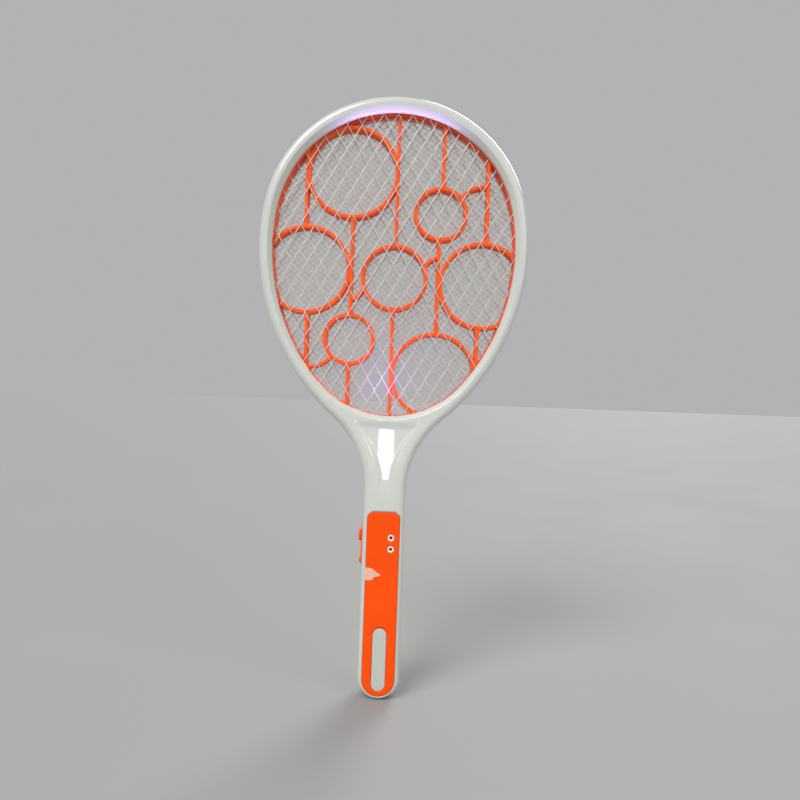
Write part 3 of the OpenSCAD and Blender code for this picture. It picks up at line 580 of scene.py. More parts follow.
ring_wall = 1.25
ring_section = [(0.05, DEPTH - 1.2)]
ring_section += [(0.05 + a, DEPTH + b) for a, b in
                 ((0, 0.1), (0.08, 0.25), (0.25, 0.35), (0.55, 0.38), (0.9, 0.3), (1.1, 0.12),
                  (ring_wall, -0.2))]
ring_section += [(0.05 + ring_wall, DEPTH - 1.2)]
rings, leds = [], []
for place_name, spot in zip(("upper", "lower"), ring_spots):
    rings.append(build("indicator_bezel_" + place_name, [carried(circle(spot, ring_r), ring_section, True)]))
    dome_r = ring_r - ring_wall - 0.1
    dome = [(dome_r, DEPTH - 5.5), (0, DEPTH - 5.5), (0, DEPTH - 1.2)]
    dome += [(dome_r * (1 - math.cos(t)), DEPTH - 1.2 + 0.9 * math.sin(t))
             for t in np.radians(np.linspace(15, 90, 6))]
    leds.append(build("indicator_dome_" + place_name, [carried(circle(spot, dome_r, 32), dome)]))
print("indicators at", [tuple(round(c, 1) for c in s) for s in ring_spots])


# %% Torn seal
seal_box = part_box("seal_scrap")
SEAL_LOW, SEAL_HIGH = seal_box[0].z / MM, seal_box[1].z / MM
SEAL_TIP = SEAL_LOW + 4.1
SEAL_LENGTH = 13.2
seal_t = 0.12


def seal_sheet(lift):
    """Grid over (along, across): a broad part, edges that run straight to the tip, and a ragged wave."""
    u = np.linspace(0, 1, 48)[:, None]
    v = np.linspace(0, 1, 20)[None, :]
    x = -PANEL_HALF - 0.4 + SEAL_LENGTH * u * (1 - 0.05 * np.sin(math.pi * v))
    ragged = 0.16 * np.sin(31 * u) + 0.1 * np.sin(83 * u + 1) + 0.05 * np.sin(171 * u)
    taper = np.maximum(0.1 * u, (u - 0.36) / 0.64)
    top = SEAL_HIGH + (SEAL_TIP - SEAL_HIGH) * taper + ragged * (1 - u) * u * 2
    step = 0.65 * smooth((u - 0.4) / 0.2) + 0.35 * np.clip((u - 0.6) / 0.4, 0, 1)
    low = SEAL_LOW + (SEAL_TIP - SEAL_LOW) * step - 1.8 * ragged * (1 - u) * u * 2
    z = low + (top - low) * v
    curl = 0.17 * smooth((u - 0.55) / 0.45) + 0.04 * np.sin(9 * u + 5 * v) * u
    depth = handle_height(x, z) + 0.04 + curl + lift
    return np.stack([x + 0 * z, z, depth], -1)


seal_rows = np.concatenate([seal_sheet(0)[:, ::-1], seal_sheet(seal_t)], 1)
seal = build("torn_seal", [(facing_front(seal_rows), False, True),
                           (facing_front(np.stack([seal_sheet(0)[0], seal_sheet(seal_t)[0]])), False, False)])
print("seal: %.1f mm long" % SEAL_LENGTH)

# %% [markdown]
# ## The side controls
# A long bezel on the left side holds a sliding mode switch and, below it, the button that
# energises the grids. The bezel is a rounded stadium with two windows; the slider's thumb has
# three finger grooves, cut as a gentle wave into its crown; the button is a turned cap.

# %% Bezel, thumb and button
bezel_reach = -bezel_box[0].x
thumb_box = [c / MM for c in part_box("mode_thumb")]
thumb_half = (thumb_box[1].y - thumb_box[0].y) / 2
thumb_low, thumb_high = thumb_box[0].z, thumb_box[1].z
thumb_mid = (thumb_low + thumb_high) / 2
thumb_top = -thumb_box[0].x
thumb_back = -thumb_box[1].x
thumb_under = bezel_reach + 0.15
button_box = [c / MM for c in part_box("push_button")]
button_mid = (button_box[0].z + button_box[1].z) / 2
button_top, button_back = -button_box[0].x, -button_box[1].x
NECK = 1.3        # radius of the thumb's neck, which passes through the bezel
SLIDE = 4.0       # travel of the slider
BUTTON_R = 2.3

bezel_shape = stadium(bezel_low, bezel_high, bezel_half)
bezel_section = [(bezel_half, HALF_W - 1.9), (1.5, HALF_W - 1.9), (1.5, HALF_W + 0.0), (0, HALF_W + 0.02)]
bezel_section += rounded(HALF_W + 0.3, bezel_reach, 0.6)
bezel_section += [(1.6, bezel_reach), (3.0, bezel_reach), (bezel_half, bezel_reach)]
bezel = build("side_bezel", [carried(bezel_shape, bezel_section, False, facing_left)])
slot = stadium((0, thumb_mid - SLIDE - 0.05), (0, thumb_mid + 0.05), NECK + 0.15)
cut(bezel, build("cutter_bezel", [
    plug(slot, HALF_W - 6, HALF_W + 6, facing_left),
    plug(circle((0, button_mid), BUTTON_R + 0.12), HALF_W - 6, HALF_W + 6, facing_left)]))

thumb_section = [(thumb_half, thumb_under), (0.25, thumb_under), (0, thumb_under + 0.25)]
thumb_section += rounded(thumb_top - 0.8, thumb_top, 0.8, 5)[1:]
thumb_section += [(inset, thumb_top) for inset in (1.1, 1.4, 1.7, 2.0, 2.4, 2.8, thumb_half)]


def grooved(grid):
    """Waves three finger grooves into the crown: the height falls by a raised cosine near each groove."""
    points, wrap_rows, wrap_cols = grid
    height = -points[..., 0]
    off = (points[..., 2] - thumb_mid + 1.2) % 2.4 - 1.2
    near = (np.abs(points[..., 2] - thumb_mid) < 3.6) & (height > thumb_top - 0.35)
    points[..., 0] += np.where(near, 0.22 * (1 + np.cos(math.pi * np.clip(off / 0.6, -1, 1))), 0)
    return points, wrap_rows, wrap_cols


def fine_stadium(half, low, high, n):
    """Stadium whose straight sides are divided too, so that a wave can run along them."""
    up = np.linspace(-90, 90, 17)
    side = np.linspace(low + half, high - half, n)[1:-1, None]

    def shape(inset):
        r = max(half - inset, 0.0)
        right = np.concatenate([np.full_like(side, r), side], 1)
        return np.concatenate([on_arc((0, high - half), r, up), right[::-1],
                               on_arc((0, low + half), r, up + 180), right * [-1, 1]])
    return shape


thumb_neck = stadium((0, thumb_mid), (0, thumb_mid), NECK, 8)
thumb = build("mode_slider_thumb", [
    grooved(carried(fine_stadium(thumb_half, thumb_low, thumb_high, 24), thumb_section, False, facing_left)),
    plug(thumb_neck, thumb_back, thumb_under + 0.1, facing_left)])

button_section = [(BUTTON_R, button_back), (0.9, button_back), (0.9, HALF_W - 3.2), (-0.5, HALF_W - 3.2),
                  (-0.5, HALF_W - 2.4), (0, HALF_W - 2.3)]
button_section += rounded(button_top - 0.9, button_top - 0.08, 0.7, 5)[1:]
button_section += [(1.1, button_top - 0.03), (1.6, button_top), (BUTTON_R, button_top)]
button_shape = circle((0, button_mid), BUTTON_R, 40)
button = build("zap_button_cap", [carried(button_shape, button_section, False, facing_left)])
print("thumb %.1f mm long, button %.1f mm proud" % (thumb_high - thumb_low, button_top - bezel_reach))

# %% [markdown]
# ## The spacer lattices
# The live grids are kept apart by two orange lattices of rings and bars. A ring is a rounded
# rectangle carried round a circle; a bar is the same section carried along a path, and it flares
# at its ends as a moulded rib does where it meets another. Each rib is a closed piece that runs
# into the next, which is far lighter than a boolean union. Rim, bars and links are each sunk by
# a few hundredths of a millimetre more, so that no two faces lie in one plane and flicker.

# %% Lattice layout, in units of half the opening's width from its middle
RINGS = [(-0.358, 0.758, 0.369), (0.381, 0.436, 0.21), (-0.72, -0.057, 0.353), (0.012, -0.104, 0.262),
         (0.743, -0.147, 0.349), (-0.346, -0.625, 0.201), (0.363, -0.904, 0.343)]
UPPER_LEFT, UPPER_RIGHT, LEFT, MIDDLE, RIGHT, LOWER_LEFT, LOWER_RIGHT = range(7)
RIM = None
# each upright bar: x, the ring that it starts on (or the rim) and the ring above that it ends on
BARS = [(0.014, MIDDLE, RIM), (0.393, UPPER_RIGHT, RIM), (-0.735, LEFT, RIM),
        (-0.345, LOWER_LEFT, UPPER_LEFT), (0.373, LOWER_RIGHT, UPPER_RIGHT), (0.765, RIGHT, RIM),
        (-0.7, RIM, LEFT), (-0.345, RIM, LOWER_LEFT), (0.01, RIM, MIDDLE), (0.713, RIM, RIGHT)]
# each short link: its start, the point that it bows towards, and its end
LINKS = [((0.545, 0.575), (0.615, 0.675), (0.765, 0.682)), ((0.258, -0.02), (0.29, 0.06), (0.375, 0.08)),
         ((-0.245, -0.21), (-0.27, -0.27), (-0.345, -0.3)), ((-0.49, -0.765), (-0.55, -0.87), (-0.7, -0.86))]
RIB, BAR = 3.2, 2.8     # widths of the rings, and of the bars and links
RIM_WIDTH, RIM_GROW = 4.8, 1.9
INTO_RIM = 1.8          # how far a bar runs past the opening's edge, into the rim
lattice_box = [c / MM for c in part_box("front_lattice")]
LATTICE_FRONT, LATTICE_BACK = -lattice_box[0].y, -lattice_box[1].y
CORNER = 0.5


def rib_section(width, flare=1.0, sunk=0.0):
    """Closed rounded rectangle (across, depth), as wide as width and almost as deep as the lattice."""
    half_w, half_d = width / 2 * flare, (LATTICE_FRONT - LATTICE_BACK) / 2 - sunk
    turn = np.radians(np.concatenate([np.linspace(q, q + 90, 4) for q in (0, 90, 180, 270)]))
    quarter = np.repeat([(1, 1), (-1, 1), (-1, -1), (1, -1)], 4, axis=0)
    cx, cd = quarter[:, 0] * (half_w - CORNER), quarter[:, 1] * (half_d - CORNER)
    middle = (LATTICE_FRONT + LATTICE_BACK) / 2
    return np.stack([cx + CORNER * np.cos(turn), middle + cd + CORNER * np.sin(turn)], -1)


def rib(path, width, flared=(True, True), sunk=0.0):
    """Rounded rectangle carried along a path; its width grows near the flared ends as exp(-distance)."""
    step = np.gradient(path, axis=0)
    step /= np.hypot(step[:, 0], step[:, 1])[:, None]
    across = np.stack([step[:, 1], -step[:, 0]], -1)
    run = np.concatenate([[0], np.cumsum(np.hypot(*np.diff(path, axis=0).T))])
    flare = 1 + 0.9 * (flared[0] * np.exp(-run / 2.6) + flared[1] * np.exp((run - run[-1]) / 2.6))
    rows = []
    for p, a, f in zip(path, across, flare):
        sec = rib_section(width, f, sunk)
        rows.append(np.concatenate([p + sec[:, :1] * a, sec[:, 1:]], 1))
    rows = np.array(rows)
    ends = [np.repeat(rows[k].mean(0)[None], rows.shape[1], 0) for k in (0, -1)]
    return facing_front(np.concatenate([ends[:1], rows, ends[1:]])), False, True


def on_opening(x, upper):
    """Height of the opening's edge above or below the place x, found along its outline."""
    h = np.linspace(0, 90, 400) if upper else np.linspace(90, 180, 400)
    edge = opening(h)
    order = np.argsort(edge[:, 0])
    return np.interp(abs(x), edge[order, 0], edge[order, 1])


def ring_edge(ring, x, side):
    """Height at which an upright at x meets a ring's middle line, above (+1) or below (-1) its centre."""
    cx, cz, r = (c * open_half for c in RINGS[ring])
    return open_mid + cz + side * math.sqrt(max(r * r - (x - cx) ** 2, 0))


def lattice_grids():
    """All ribs of a lattice, each as one closed grid."""
    grids = []
    rim = rib_section(RIM_WIDTH, sunk=0.05)
    grids.append(carried(lambda inset: opening(np.arange(0, 360, 1.25), RIM_GROW + inset), rim, True))
    for x, z, r in RINGS:
        centre, radius = (x * open_half, open_mid + z * open_half), r * open_half
        turn = np.arange(0, 360, 3.0)
        ring_path = on_arc(centre, radius, turn)
        inside = past_opening(ring_path[:, 0], ring_path[:, 1]) < 1.0
        if inside.all():
            def ring(s, c=centre, q=radius, t=turn):
                return on_arc(c, q + s, t)
            grids.append(carried(ring, rib_section(RIB), True))
        else:
            first = np.flatnonzero(inside & ~np.roll(inside, 1))[0]
            grids.append(rib(np.roll(ring_path, -first, 0)[:inside.sum()], RIB))
    for x, start, end in BARS:
        px = x * open_half
        low = on_opening(px, False) - INTO_RIM if start is RIM else ring_edge(start, px, 1)
        high = on_opening(px, True) + INTO_RIM if end is RIM else ring_edge(end, px, -1)
        z = np.linspace(0, 1, 40)[:, None]
        path = np.concatenate([np.full_like(z, px), low + (high - low) * z], 1)
        grids.append(rib(path, BAR, sunk=0.1))
    for a, b, c in LINKS:
        t = np.linspace(0, 1, 16)[:, None]
        path = (1 - t) ** 2 * np.array(a) + 2 * t * (1 - t) * np.array(b) + t ** 2 * np.array(c)
        grids.append(rib(path * open_half + [0, open_mid], BAR, (False, False), 0.15))
    return grids


def rearward(grids):
    """The same grids on the other side of the parting plane."""
    return [(points * [1, -1, 1], wr, wc) for points, wr, wc in grids]


front_lattice = build("front_spacer_lattice", lattice_grids())
rear_lattice = build("rear_spacer_lattice", rearward(lattice_grids()))
print("lattice:", len(front_lattice.data.polygons), "faces")

# %% [markdown]
# ## Expanded metal
# The grids are expanded sheet: slits are cut in rows and the sheet is pulled open, so that each
# strand leaves its bond upright, leans over to the next one, and twists a little on the way.
# All strands are worked out at once as one array of strands by stations by corners. A strand
# that would leave the frame is pushed back to the frame's edge, along the way out of the opening.

# %% Strands of a grid
def expanded(name, width, height, strand, thick, middle, upright_bonds, twist, stations_n):
    """Mesh of all strands: the path from bond to bond leaves and arrives along the bond and leans between."""
    nx = int(open_half / width) + 3
    nz = int((open_top - open_low) / height / 2) + 3
    i, j, k = np.meshgrid(np.arange(-nx, nx + 1), np.arange(-nz, nz + 1), (0, 0.5), indexing="ij")
    node = np.stack([(i + k) * width, open_mid + (j + k) * height], -1).reshape(-1, 2)
    side = np.array([1.0, -1.0])
    a = np.repeat(node, 2, 0)
    lean = np.tile(side, len(node))[:, None]
    off = strand / 2
    bond = 0.035 * (height if upright_bonds else width)
    t = np.linspace(0, 1, stations_n - 2)
    if upright_bonds:
        start, end = np.array([off, bond]), np.array([width / 2 - off, height / 2 - bond])
        first, last = np.array([off, 0]), np.array([width / 2 - off, height / 2])
    else:
        start, end = np.array([bond, off]), np.array([width / 2 - bond, height / 2 - off])
        first, last = np.array([0, off]), np.array([width / 2, height / 2 - off])
    path = np.concatenate([[first], start + (end - start) * t[:, None], [last]])
    path = a[:, None, :] + path[None] * np.stack([lean, np.ones_like(lean)], -1)
    out = past_opening(path[..., 0], path[..., 1])
    keep = out.min(1) < 2.4
    path, lean, out = path[keep], lean[keep], out[keep]
    eps = 0.01
    gx = (past_opening(path[..., 0] + eps, path[..., 1]) - out) / eps
    gz = (past_opening(path[..., 0], path[..., 1] + eps) - out) / eps
    over = np.maximum(out - 3.2, 0)
    path = path - np.stack([gx, gz], -1) * over[..., None]
    step = np.gradient(path, axis=1)
    step /= np.maximum(np.linalg.norm(step, axis=-1, keepdims=True), 1e-9)
    across = np.stack([step[..., 1], -step[..., 0]], -1)
    roll_by = np.radians(twist) * np.sin(math.pi * np.linspace(0, 1, path.shape[1]))[None, :] * lean
    corners = []
    for sa, sd in ((-1, -1), (1, -1), (1, 1), (-1, 1)):
        u = sa * strand / 2 * np.cos(roll_by) - sd * thick / 2 * np.sin(roll_by)
        d = sa * strand / 2 * np.sin(roll_by) + sd * thick / 2 * np.cos(roll_by)
        corners.append(np.concatenate([path + across * u[..., None], (middle + d)[..., None]], -1))
    points = facing_front(np.stack(corners, 2))
    n, rows = points.shape[:2]
    one = grid_faces(rows, 4, False, True)
    caps = np.array([[3, 2, 1, 0], [4 * rows - 4, 4 * rows - 3, 4 * rows - 2, 4 * rows - 1]])
    cell = np.concatenate([one, caps])
    faces = (cell[None] + (np.arange(n) * rows * 4)[:, None, None]).reshape(-1, 4)
    mesh = bpy.data.meshes.new(name)
    mesh.from_pydata((points.reshape(-1, 3) * MM).tolist(), [], faces.tolist())
    bm = bmesh.new()
    bm.from_mesh(mesh)
    bmesh.ops.recalc_face_normals(bm, faces=bm.faces)
    bm.to_mesh(mesh)
    bm.free()
    obj = bpy.data.objects.new(name, mesh)
    bpy.context.scene.collection.objects.link(obj)
    print(name, n, "strands,", len(faces), "faces")
    return obj


grid_box = [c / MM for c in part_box("front_grid")]
outer_y = -(grid_box[0].y + grid_box[1].y) / 2
COARSE_W, COARSE_H, COARSE_STRAND = 11.8, 20.6, 0.5
FINE_W, FINE_H, FINE_STRAND = 6.3, 4.9, 0.3
coarse = (COARSE_W, COARSE_H, COARSE_STRAND, 0.4)
front_mesh = expanded("front_grid_mesh", *coarse, outer_y, True, 14, 8)
rear_mesh = expanded("rear_grid_mesh", *coarse, -outer_y, True, 14, 8)
inner_mesh = expanded("inner_grid_mesh", FINE_W, FINE_H, FINE_STRAND, 0.3, 0.0, False, 10, 4)

# %% [markdown]
# ## Wells of the screws
# From behind one sees twelve screw wells. Each is a turned cup in the rear shell: a chamfered
# mouth, a straight wall and a floor that the screw's head seats on.

# %% Screw wells
SCREW_SEAT = 8.0
WELL_R = 2.5
APART = 6      # points of two different screws' heads are further apart than this
screw_spots = []
for node in ("head_screws", "handle_screws"):
    co = np.array([v.co for v in frame["nodes"][node].data.vertices]) / MM
    heads = co[co[:, 1] > SCREW_SEAT + 1.0]
    for p in heads:
        if all(math.hypot(p[0] - q[0], p[2] - q[1]) > APART for q in screw_spots):
            near = heads[np.hypot(heads[:, 0] - p[0], heads[:, 2] - p[2]) < APART]
            screw_spots.append(((near[:, 0].min() + near[:, 0].max()) / 2,
                                (near[:, 2].min() + near[:, 2].max()) / 2))


def outline_inset(x, z):
    """Distance inside the racket's outline, by the arc whose sector holds the point."""
    ax = abs(x)
    if z < butt_c[1]:
        return HALF_W - math.hypot(ax, z - butt_c[1])
    if z < neck_c[1]:
        return HALF_W - ax
    if math.degrees(math.atan2(ax - out_flank_c[0], z - out_flank_c[1])) > neck_heading:
        return math.hypot(ax - neck_c[0], z - neck_c[1]) - NECK_R
    if math.degrees(math.atan2(ax, z - out_crown_c[1])) <= CROWN_END:
        return out_crown_r - math.hypot(ax, z - out_crown_c[1])
    return out_flank_r - math.hypot(ax - out_flank_c[0], z - out_flank_c[1])


def under_skin(grid):
    """Lowers a grid of the frame's points to just under the rolled face, wherever it would stand out."""
    points, wrap_rows, wrap_cols = grid
    inset = np.vectorize(outline_inset)(points[..., 0], points[..., 2])
    points[..., 1] = np.maximum(points[..., 1], roll(inset) + 0.25 - DEPTH)
    return points, wrap_rows, wrap_cols


well_holes, wells = [], []
for spot in screw_spots:
    well_holes.append(plug(circle(spot, WELL_R, 28), SCREW_SEAT + 1.6, DEPTH + 2))
    section = [(-0.7, SCREW_SEAT), (-0.7, DEPTH), (0, DEPTH), (0, SCREW_SEAT + 0.4), (1.3, SCREW_SEAT + 0.4),
               (1.3, SCREW_SEAT)]
    wells.append(under_skin(carried(circle(spot, WELL_R, 28), section, True)))
cut(rear_skin, build("cutter_wells", rearward(well_holes)))
well_cups = build("screw_wells", rearward(wells))
print("screws:", len(screw_spots))

# %% [markdown]
# ## Which piece is which
# Each finished surface rides on a body of the frame, stands for the pieces it was drawn over, and
# names the slot its finish comes from. The screws, contacts, circuit and battery are shown as
# they are.

# %% Bodies, stand-ins and slots
PIECES = [
    (front_skin, "racket", "white_shell", ["front_shell"]),
    (rear_skin, "racket", "white_shell", ["rear_shell"]),
    (well_cups, "racket", "white_shell", []),
    (panel, "racket", "orange_panel", ["grip_panel"]),
    (lens, "racket", "frosted_lens", ["lamp_lens"]),
    (seal, "racket", "seal_paper", ["seal_scrap"]),
    (rings[0], "racket", "white_ring", ["indicator_ring_upper"]),
    (rings[1], "racket", "white_ring", ["indicator_ring_lower"]),
    (leds[0], "racket", "dark_led", ["indicator_led_upper"]),
    (leds[1], "racket", "dark_led", ["indicator_led_lower"]),
    (front_lattice, "racket", "orange_lattice", ["front_lattice"]),
    (rear_lattice, "racket", "orange_lattice", ["rear_lattice"]),
    (front_mesh, "racket", "outer_grid", ["front_grid"]),
    (rear_mesh, "racket", "outer_grid", ["rear_grid"]),
    (inner_mesh, "racket", "inner_grid", ["inner_grid"]),
    (bezel, "racket", "orange_panel", ["switch_bezel"]),
    (thumb, "mode_slider", "orange_panel", ["mode_thumb"]),
    (button, "zap_button", "orange_panel", ["push_button"])]
slot_of = {part["node"]: part["material_slot"] for part in frame["record"]["subparts"]}
for piece, body, slot_name, nodes in PIECES:
    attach(piece, body)
    if nodes:
        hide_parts(*nodes)
print(len(PIECES), "pieces,", sum(len(p[0].data.polygons) for p in PIECES), "faces")

# %% [markdown]
# ## Finishes
# Real plastic is never one flat colour: a moulding has faint flow clouds, a fine orange-peel in
# its gloss, and patches that hands have dulled. Each finish is therefore a base colour that a slow
# noise shifts a little, a roughness that a second noise wanders over, and a bump from a fine
# noise. All noises sit in the object's own space, so they stay put when the view changes.

# %% Finish helper
def finish(name, colour, rough, metal=0.0, shift=0.06, cloud=30, patchy=0.06, grain=900, bump=0.02,
           stretch=(1, 1, 1), coat=0.0, polish=0.08, soft=0.0, glow=None, ior=1.5):
    """Principled finish; noises in object space drive its colour, roughness and bump."""
    mat = bpy.data.materials.new(name)
    mat.use_nodes = True
    tree = mat.node_tree
    shader = tree.nodes["Principled BSDF"]

    def node(kind, **values):
        made = tree.nodes.new(kind)
        for key, value in values.items():
            made.inputs[key.replace("_", " ")].default_value = value
        return made

    place = tree.nodes.new("ShaderNodeTexCoord")
    scaled = node("ShaderNodeMapping", Scale=stretch)
    tree.links.new(place.outputs["Object"], scaled.inputs["Vector"])
    clouds = node("ShaderNodeTexNoise", Scale=cloud, Detail=3.0, Roughness=0.55)
    fine = node("ShaderNodeTexNoise", Scale=grain, Detail=2.0, Roughness=0.6)
    for noise in (clouds, fine):
        tree.links.new(scaled.outputs["Vector"], noise.inputs["Vector"])
    dark = [c * (1 - shift) for c in colour] + [1]
    pale = [min(1, c * (1 + shift)) for c in colour] + [1]
    ramp = tree.nodes.new("ShaderNodeValToRGB")
    ramp.color_ramp.elements[0].position, ramp.color_ramp.elements[0].color = 0.3, dark
    ramp.color_ramp.elements[1].position, ramp.color_ramp.elements[1].color = 0.7, pale
    tree.links.new(clouds.outputs["Fac"], ramp.inputs["Fac"])
    tree.links.new(ramp.outputs["Color"], shader.inputs["Base Color"])
    wander = tree.nodes.new("ShaderNodeMapRange")
    wander.inputs["From Min"].default_value, wander.inputs["From Max"].default_value = 0.35, 0.65
    wander.inputs["To Min"].default_value = max(0.02, rough - patchy)
    wander.inputs["To Max"].default_value = min(1.0, rough + patchy)
    tree.links.new(clouds.outputs["Fac"], wander.inputs["Value"])
    tree.links.new(wander.outputs["Result"], shader.inputs["Roughness"])
    raised = node("ShaderNodeBump", Strength=bump, Distance=0.0002)
    tree.links.new(fine.outputs["Fac"], raised.inputs["Height"])
    tree.links.new(raised.outputs["Normal"], shader.inputs["Normal"])
    shader.inputs["Metallic"].default_value = metal
    shader.inputs["IOR"].default_value = ior
    shader.inputs["Coat Weight"].default_value = coat
    shader.inputs["Coat Roughness"].default_value = polish
    shader.inputs["Subsurface Weight"].default_value = soft
    shader.inputs["Subsurface Radius"].default_value = (0.004, 0.003, 0.002)
    shader.inputs["Subsurface Scale"].default_value = 0.5
    if glow:
        shader.inputs["Emission Color"].default_value = (*glow[0], 1)
        shader.inputs["Emission Strength"].default_value = glow[1]
    return mat


FINISHES = {
    "white_shell": finish("white_shell", (0.61, 0.635, 0.59), 0.32, shift=0.025, cloud=18, patchy=0.015,
                          grain=700, bump=0.008, coat=0.8, polish=0.03),
    "outer_grid": finish("outer_grid", (0.62, 0.58, 0.52), 0.5, metal=0.3, shift=0.16, cloud=260,
                         patchy=0.12, grain=3000, bump=0.25, stretch=(1, 1, 0.3)),
    # the inner grid is its own brownish grey, and part of its darkness against the outer grid is painted
    # shade for the shaded space between the grids
    "inner_grid": finish("inner_grid", (0.40, 0.36, 0.34), 0.55, metal=0.35, shift=0.18, cloud=300,
                         patchy=0.12, grain=3500, bump=0.25),
    "orange_lattice": finish("orange_lattice", (0.98, 0.105, 0.005), 0.45, shift=0.06, cloud=60,
                             patchy=0.08, grain=1200, bump=0.05, ior=1.4),
    "orange_panel": finish("orange_panel", (0.98, 0.082, 0.002), 0.3, shift=0.03, cloud=24, patchy=0.06,
                           grain=900, bump=0.02, ior=1.25),
    "seal_paper": finish("seal_paper", (0.82, 0.47, 0.36), 0.7, shift=0.16, cloud=420, patchy=0.1,
                         grain=2600, bump=0.35, stretch=(1, 1, 2.5)),
    "frosted_lens": finish("frosted_lens", (0.54, 0.56, 0.50), 0.48, shift=0.035, cloud=90, patchy=0.05,
                           grain=5000, bump=0.22, soft=0.25, coat=0.05),
    "circuit_green": finish("circuit_green", (0.03, 0.16, 0.05), 0.3, shift=0.3, cloud=700, patchy=0.1,
                            grain=2500, bump=0.2, coat=0.4),
    "led_phosphor": finish("led_phosphor", (0.85, 0.7, 0.25), 0.35, shift=0.15, cloud=900, patchy=0.1,
                           bump=0.1, soft=0.2),
    "white_ring": finish("white_ring", (0.86, 0.85, 0.80), 0.25, shift=0.03, cloud=200, patchy=0.05,
                         bump=0.03, coat=0.2),
    "dark_led": finish("dark_led", (0.05, 0.012, 0.012), 0.15, shift=0.3, cloud=400, patchy=0.05,
                       bump=0.02, coat=0.6),
    "black_plastic": finish("black_plastic", (0.022, 0.022, 0.024), 0.42, shift=0.2, cloud=150,
                            patchy=0.1, grain=2200, bump=0.2),
    "switch_metal": finish("switch_metal", (0.55, 0.55, 0.54), 0.35, metal=1.0, shift=0.12, cloud=500,
                           patchy=0.1, grain=2600, bump=0.12),
    "violet_led": finish("violet_led", (0.5, 0.4, 0.95), 0.25, shift=0.05, cloud=400, bump=0.02,
                         glow=((0.35, 0.22, 1.0), 6.0)),
    "ferrite": finish("ferrite", (0.05, 0.05, 0.055), 0.65, shift=0.3, cloud=900, patchy=0.15,
                      grain=3000, bump=0.5),
    "winding": finish("winding", (0.45, 0.14, 0.03), 0.35, metal=0.5, shift=0.3, cloud=1200, patchy=0.1,
                      bump=0.4, stretch=(0.2, 1, 6)),
    "film_red": finish("film_red", (0.48, 0.04, 0.025), 0.25, shift=0.12, cloud=300, bump=0.06,
                       coat=0.5),
    "film_yellow": finish("film_yellow", (0.62, 0.48, 0.04), 0.35, shift=0.12, cloud=300, bump=0.06,
                          coat=0.2),
    "resistor_tan": finish("resistor_tan", (0.6, 0.47, 0.3), 0.45, shift=0.18, cloud=900, bump=0.1),
    "battery_case": finish("battery_case", (0.07, 0.09, 0.11), 0.4, shift=0.2, cloud=90, patchy=0.1,
                           bump=0.15),
    "foam": finish("foam", (0.09, 0.09, 0.09), 0.95, shift=0.35, cloud=1500, patchy=0.04, grain=2500,
                   bump=1.0),
    "red_wire": finish("red_wire", (0.5, 0.015, 0.012), 0.4, shift=0.12, cloud=300, bump=0.08),
    "nickel": finish("nickel", (0.68, 0.66, 0.62), 0.2, metal=1.0, shift=0.08, cloud=600, patchy=0.08,
                     bump=0.05),
    "brass_contact": finish("brass_contact", (0.72, 0.5, 0.2), 0.3, metal=1.0, shift=0.12, cloud=500,
                            patchy=0.1, bump=0.1),
    "screw_steel": finish("screw_steel", (0.42, 0.42, 0.43), 0.35, metal=1.0, shift=0.18, cloud=900,
                          patchy=0.12, grain=2800, bump=0.2),
}
for piece, body, slot_name, nodes in PIECES:
    piece.data.materials.clear()
    piece.data.materials.append(FINISHES[slot_name])
for node_name, node_obj in frame["nodes"].items():
    node_obj.data.materials.clear()
    node_obj.data.materials.append(FINISHES[slot_of[node_name]])
print(len(FINISHES), "finishes")

# %% [markdown]
# ## Floor, light and the viewpoint
# A pale floor runs far past the racket, under an even grey sky, so it fades out with no wall.
# Three broad far lamps light the floor evenly and model the rounds of the frame; a narrow bright
# panel straight ahead is what the glossy channel in the neck mirrors. Two small violet lamps stand
# for the lure lights' beam, one on the lower mesh and one on the top of the rim; light linking keeps
# each off the other pieces. The viewpoint is at the height of the neck, close and level, with a
# slight roll.

# %% Stage
REACH = 60000.0     # half the floor's width
corners = np.array([[(x, y, BUTT) for x in (-REACH, REACH)] for y in (-REACH, REACH)])
floor = build("floor", [(corners, False, False)], outward=False)
floor.data.materials.append(finish("floor", (0.30, 0.30, 0.297), 0.8, shift=0.01, cloud=4, patchy=0.04,
                                   grain=300, bump=0.02))

world = bpy.data.worlds.new("studio")
world.use_nodes = True
world.node_tree.nodes["Background"].inputs["Color"].default_value = (0.56, 0.56, 0.56, 1)
world.node_tree.nodes["Background"].inputs["Strength"].default_value = 0.8
bpy.context.scene.world = world


def soft_box(name, spot, aim, width, height, power, tint=(1, 1, 1)):
    """Rectangular lamp at spot, in metres, turned to face the aim with its height upright."""
    lamp = bpy.data.lights.new(name, "AREA")
    lamp.shape = "RECTANGLE"
    lamp.size, lamp.size_y, lamp.energy, lamp.color = width, height, power, tint
    obj = bpy.data.objects.new(name, lamp)
    obj.location = spot
    obj.rotation_euler = (Vector(aim) - Vector(spot)).to_track_quat("-Z", "Y").to_euler()
    bpy.context.scene.collection.objects.link(obj)
    return obj


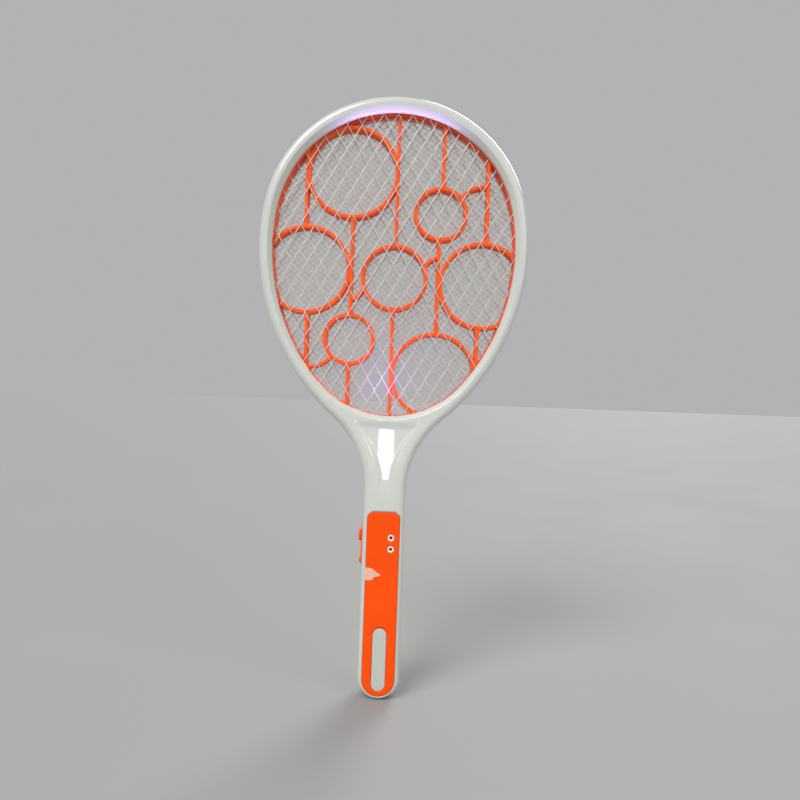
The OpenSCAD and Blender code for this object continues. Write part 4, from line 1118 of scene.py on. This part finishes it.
def far_lamp(name, towards, strength, spread):
    """Lamp so far off that it lights all of the floor alike; spread is the width of its disc in degrees."""
    lamp = bpy.data.lights.new(name, "SUN")
    lamp.energy, lamp.angle = strength, math.radians(spread)
    obj = bpy.data.objects.new(name, lamp)
    obj.rotation_euler = (-Vector(towards)).to_track_quat("-Z", "Y").to_euler()
    bpy.context.scene.collection.objects.link(obj)
    return obj


far_lamp("key", (-0.6, -0.85, 1.05), 2.25, 30)
far_lamp("fill", (0.9, -0.7, 0.5), 0.6, 40)
far_lamp("rear", (0.4, 0.9, 0.8), 1.6, 30)
soft_box("channel_panel", (-0.010, -0.488, 0.095), (0, 0, 0.130), 0.024, 0.058, 0.11)


def lit_only(lamp, pieces):
    """Lets a small glow lamp reach only the pieces that it is meant for, and keeps it out of sight."""
    group = bpy.data.collections.new(lamp.name + "_reach")
    for piece in pieces:
        group.objects.link(piece)
    lamp.light_linking.receiver_collection = group
    lamp.visible_camera = False


lure_mid = (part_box("lure_led_left")[0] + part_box("lure_led_right")[1]) / 2
brow = soft_box("violet_brow", (0, lure_mid.y - 0.004, open_top * MM - 0.030), (0, lure_mid.y, 1),
                0.07, 0.006, 0.03, (0.55, 0.42, 1))
lit_only(brow, [front_skin])
throat = soft_box("violet_throat", (-0.003, -0.030, open_low * MM + 0.03), (-0.003, 0, open_low * MM + 0.05),
                  0.012, 0.03, 0.012, (0.42, 0.22, 1))
lit_only(throat, [front_mesh, inner_mesh, rear_mesh, front_lattice])

camera = bpy.data.cameras.new("viewpoint")
camera.lens, camera.sensor_width, camera.clip_end = 27, 36, 200
viewer = bpy.data.objects.new("viewpoint", camera)
LEVEL, TILT = math.radians(90), math.radians(2.1)
viewer.matrix_world = (Matrix.Translation((0.0096, -0.4965, 0.1615)) @ Matrix.Rotation(LEVEL, 4, "X")
                       @ Matrix.Rotation(TILT, 4, "Z"))
bpy.context.scene.collection.objects.link(viewer)
bpy.context.scene.camera = viewer
bpy.context.scene.view_settings.view_transform = "Standard"
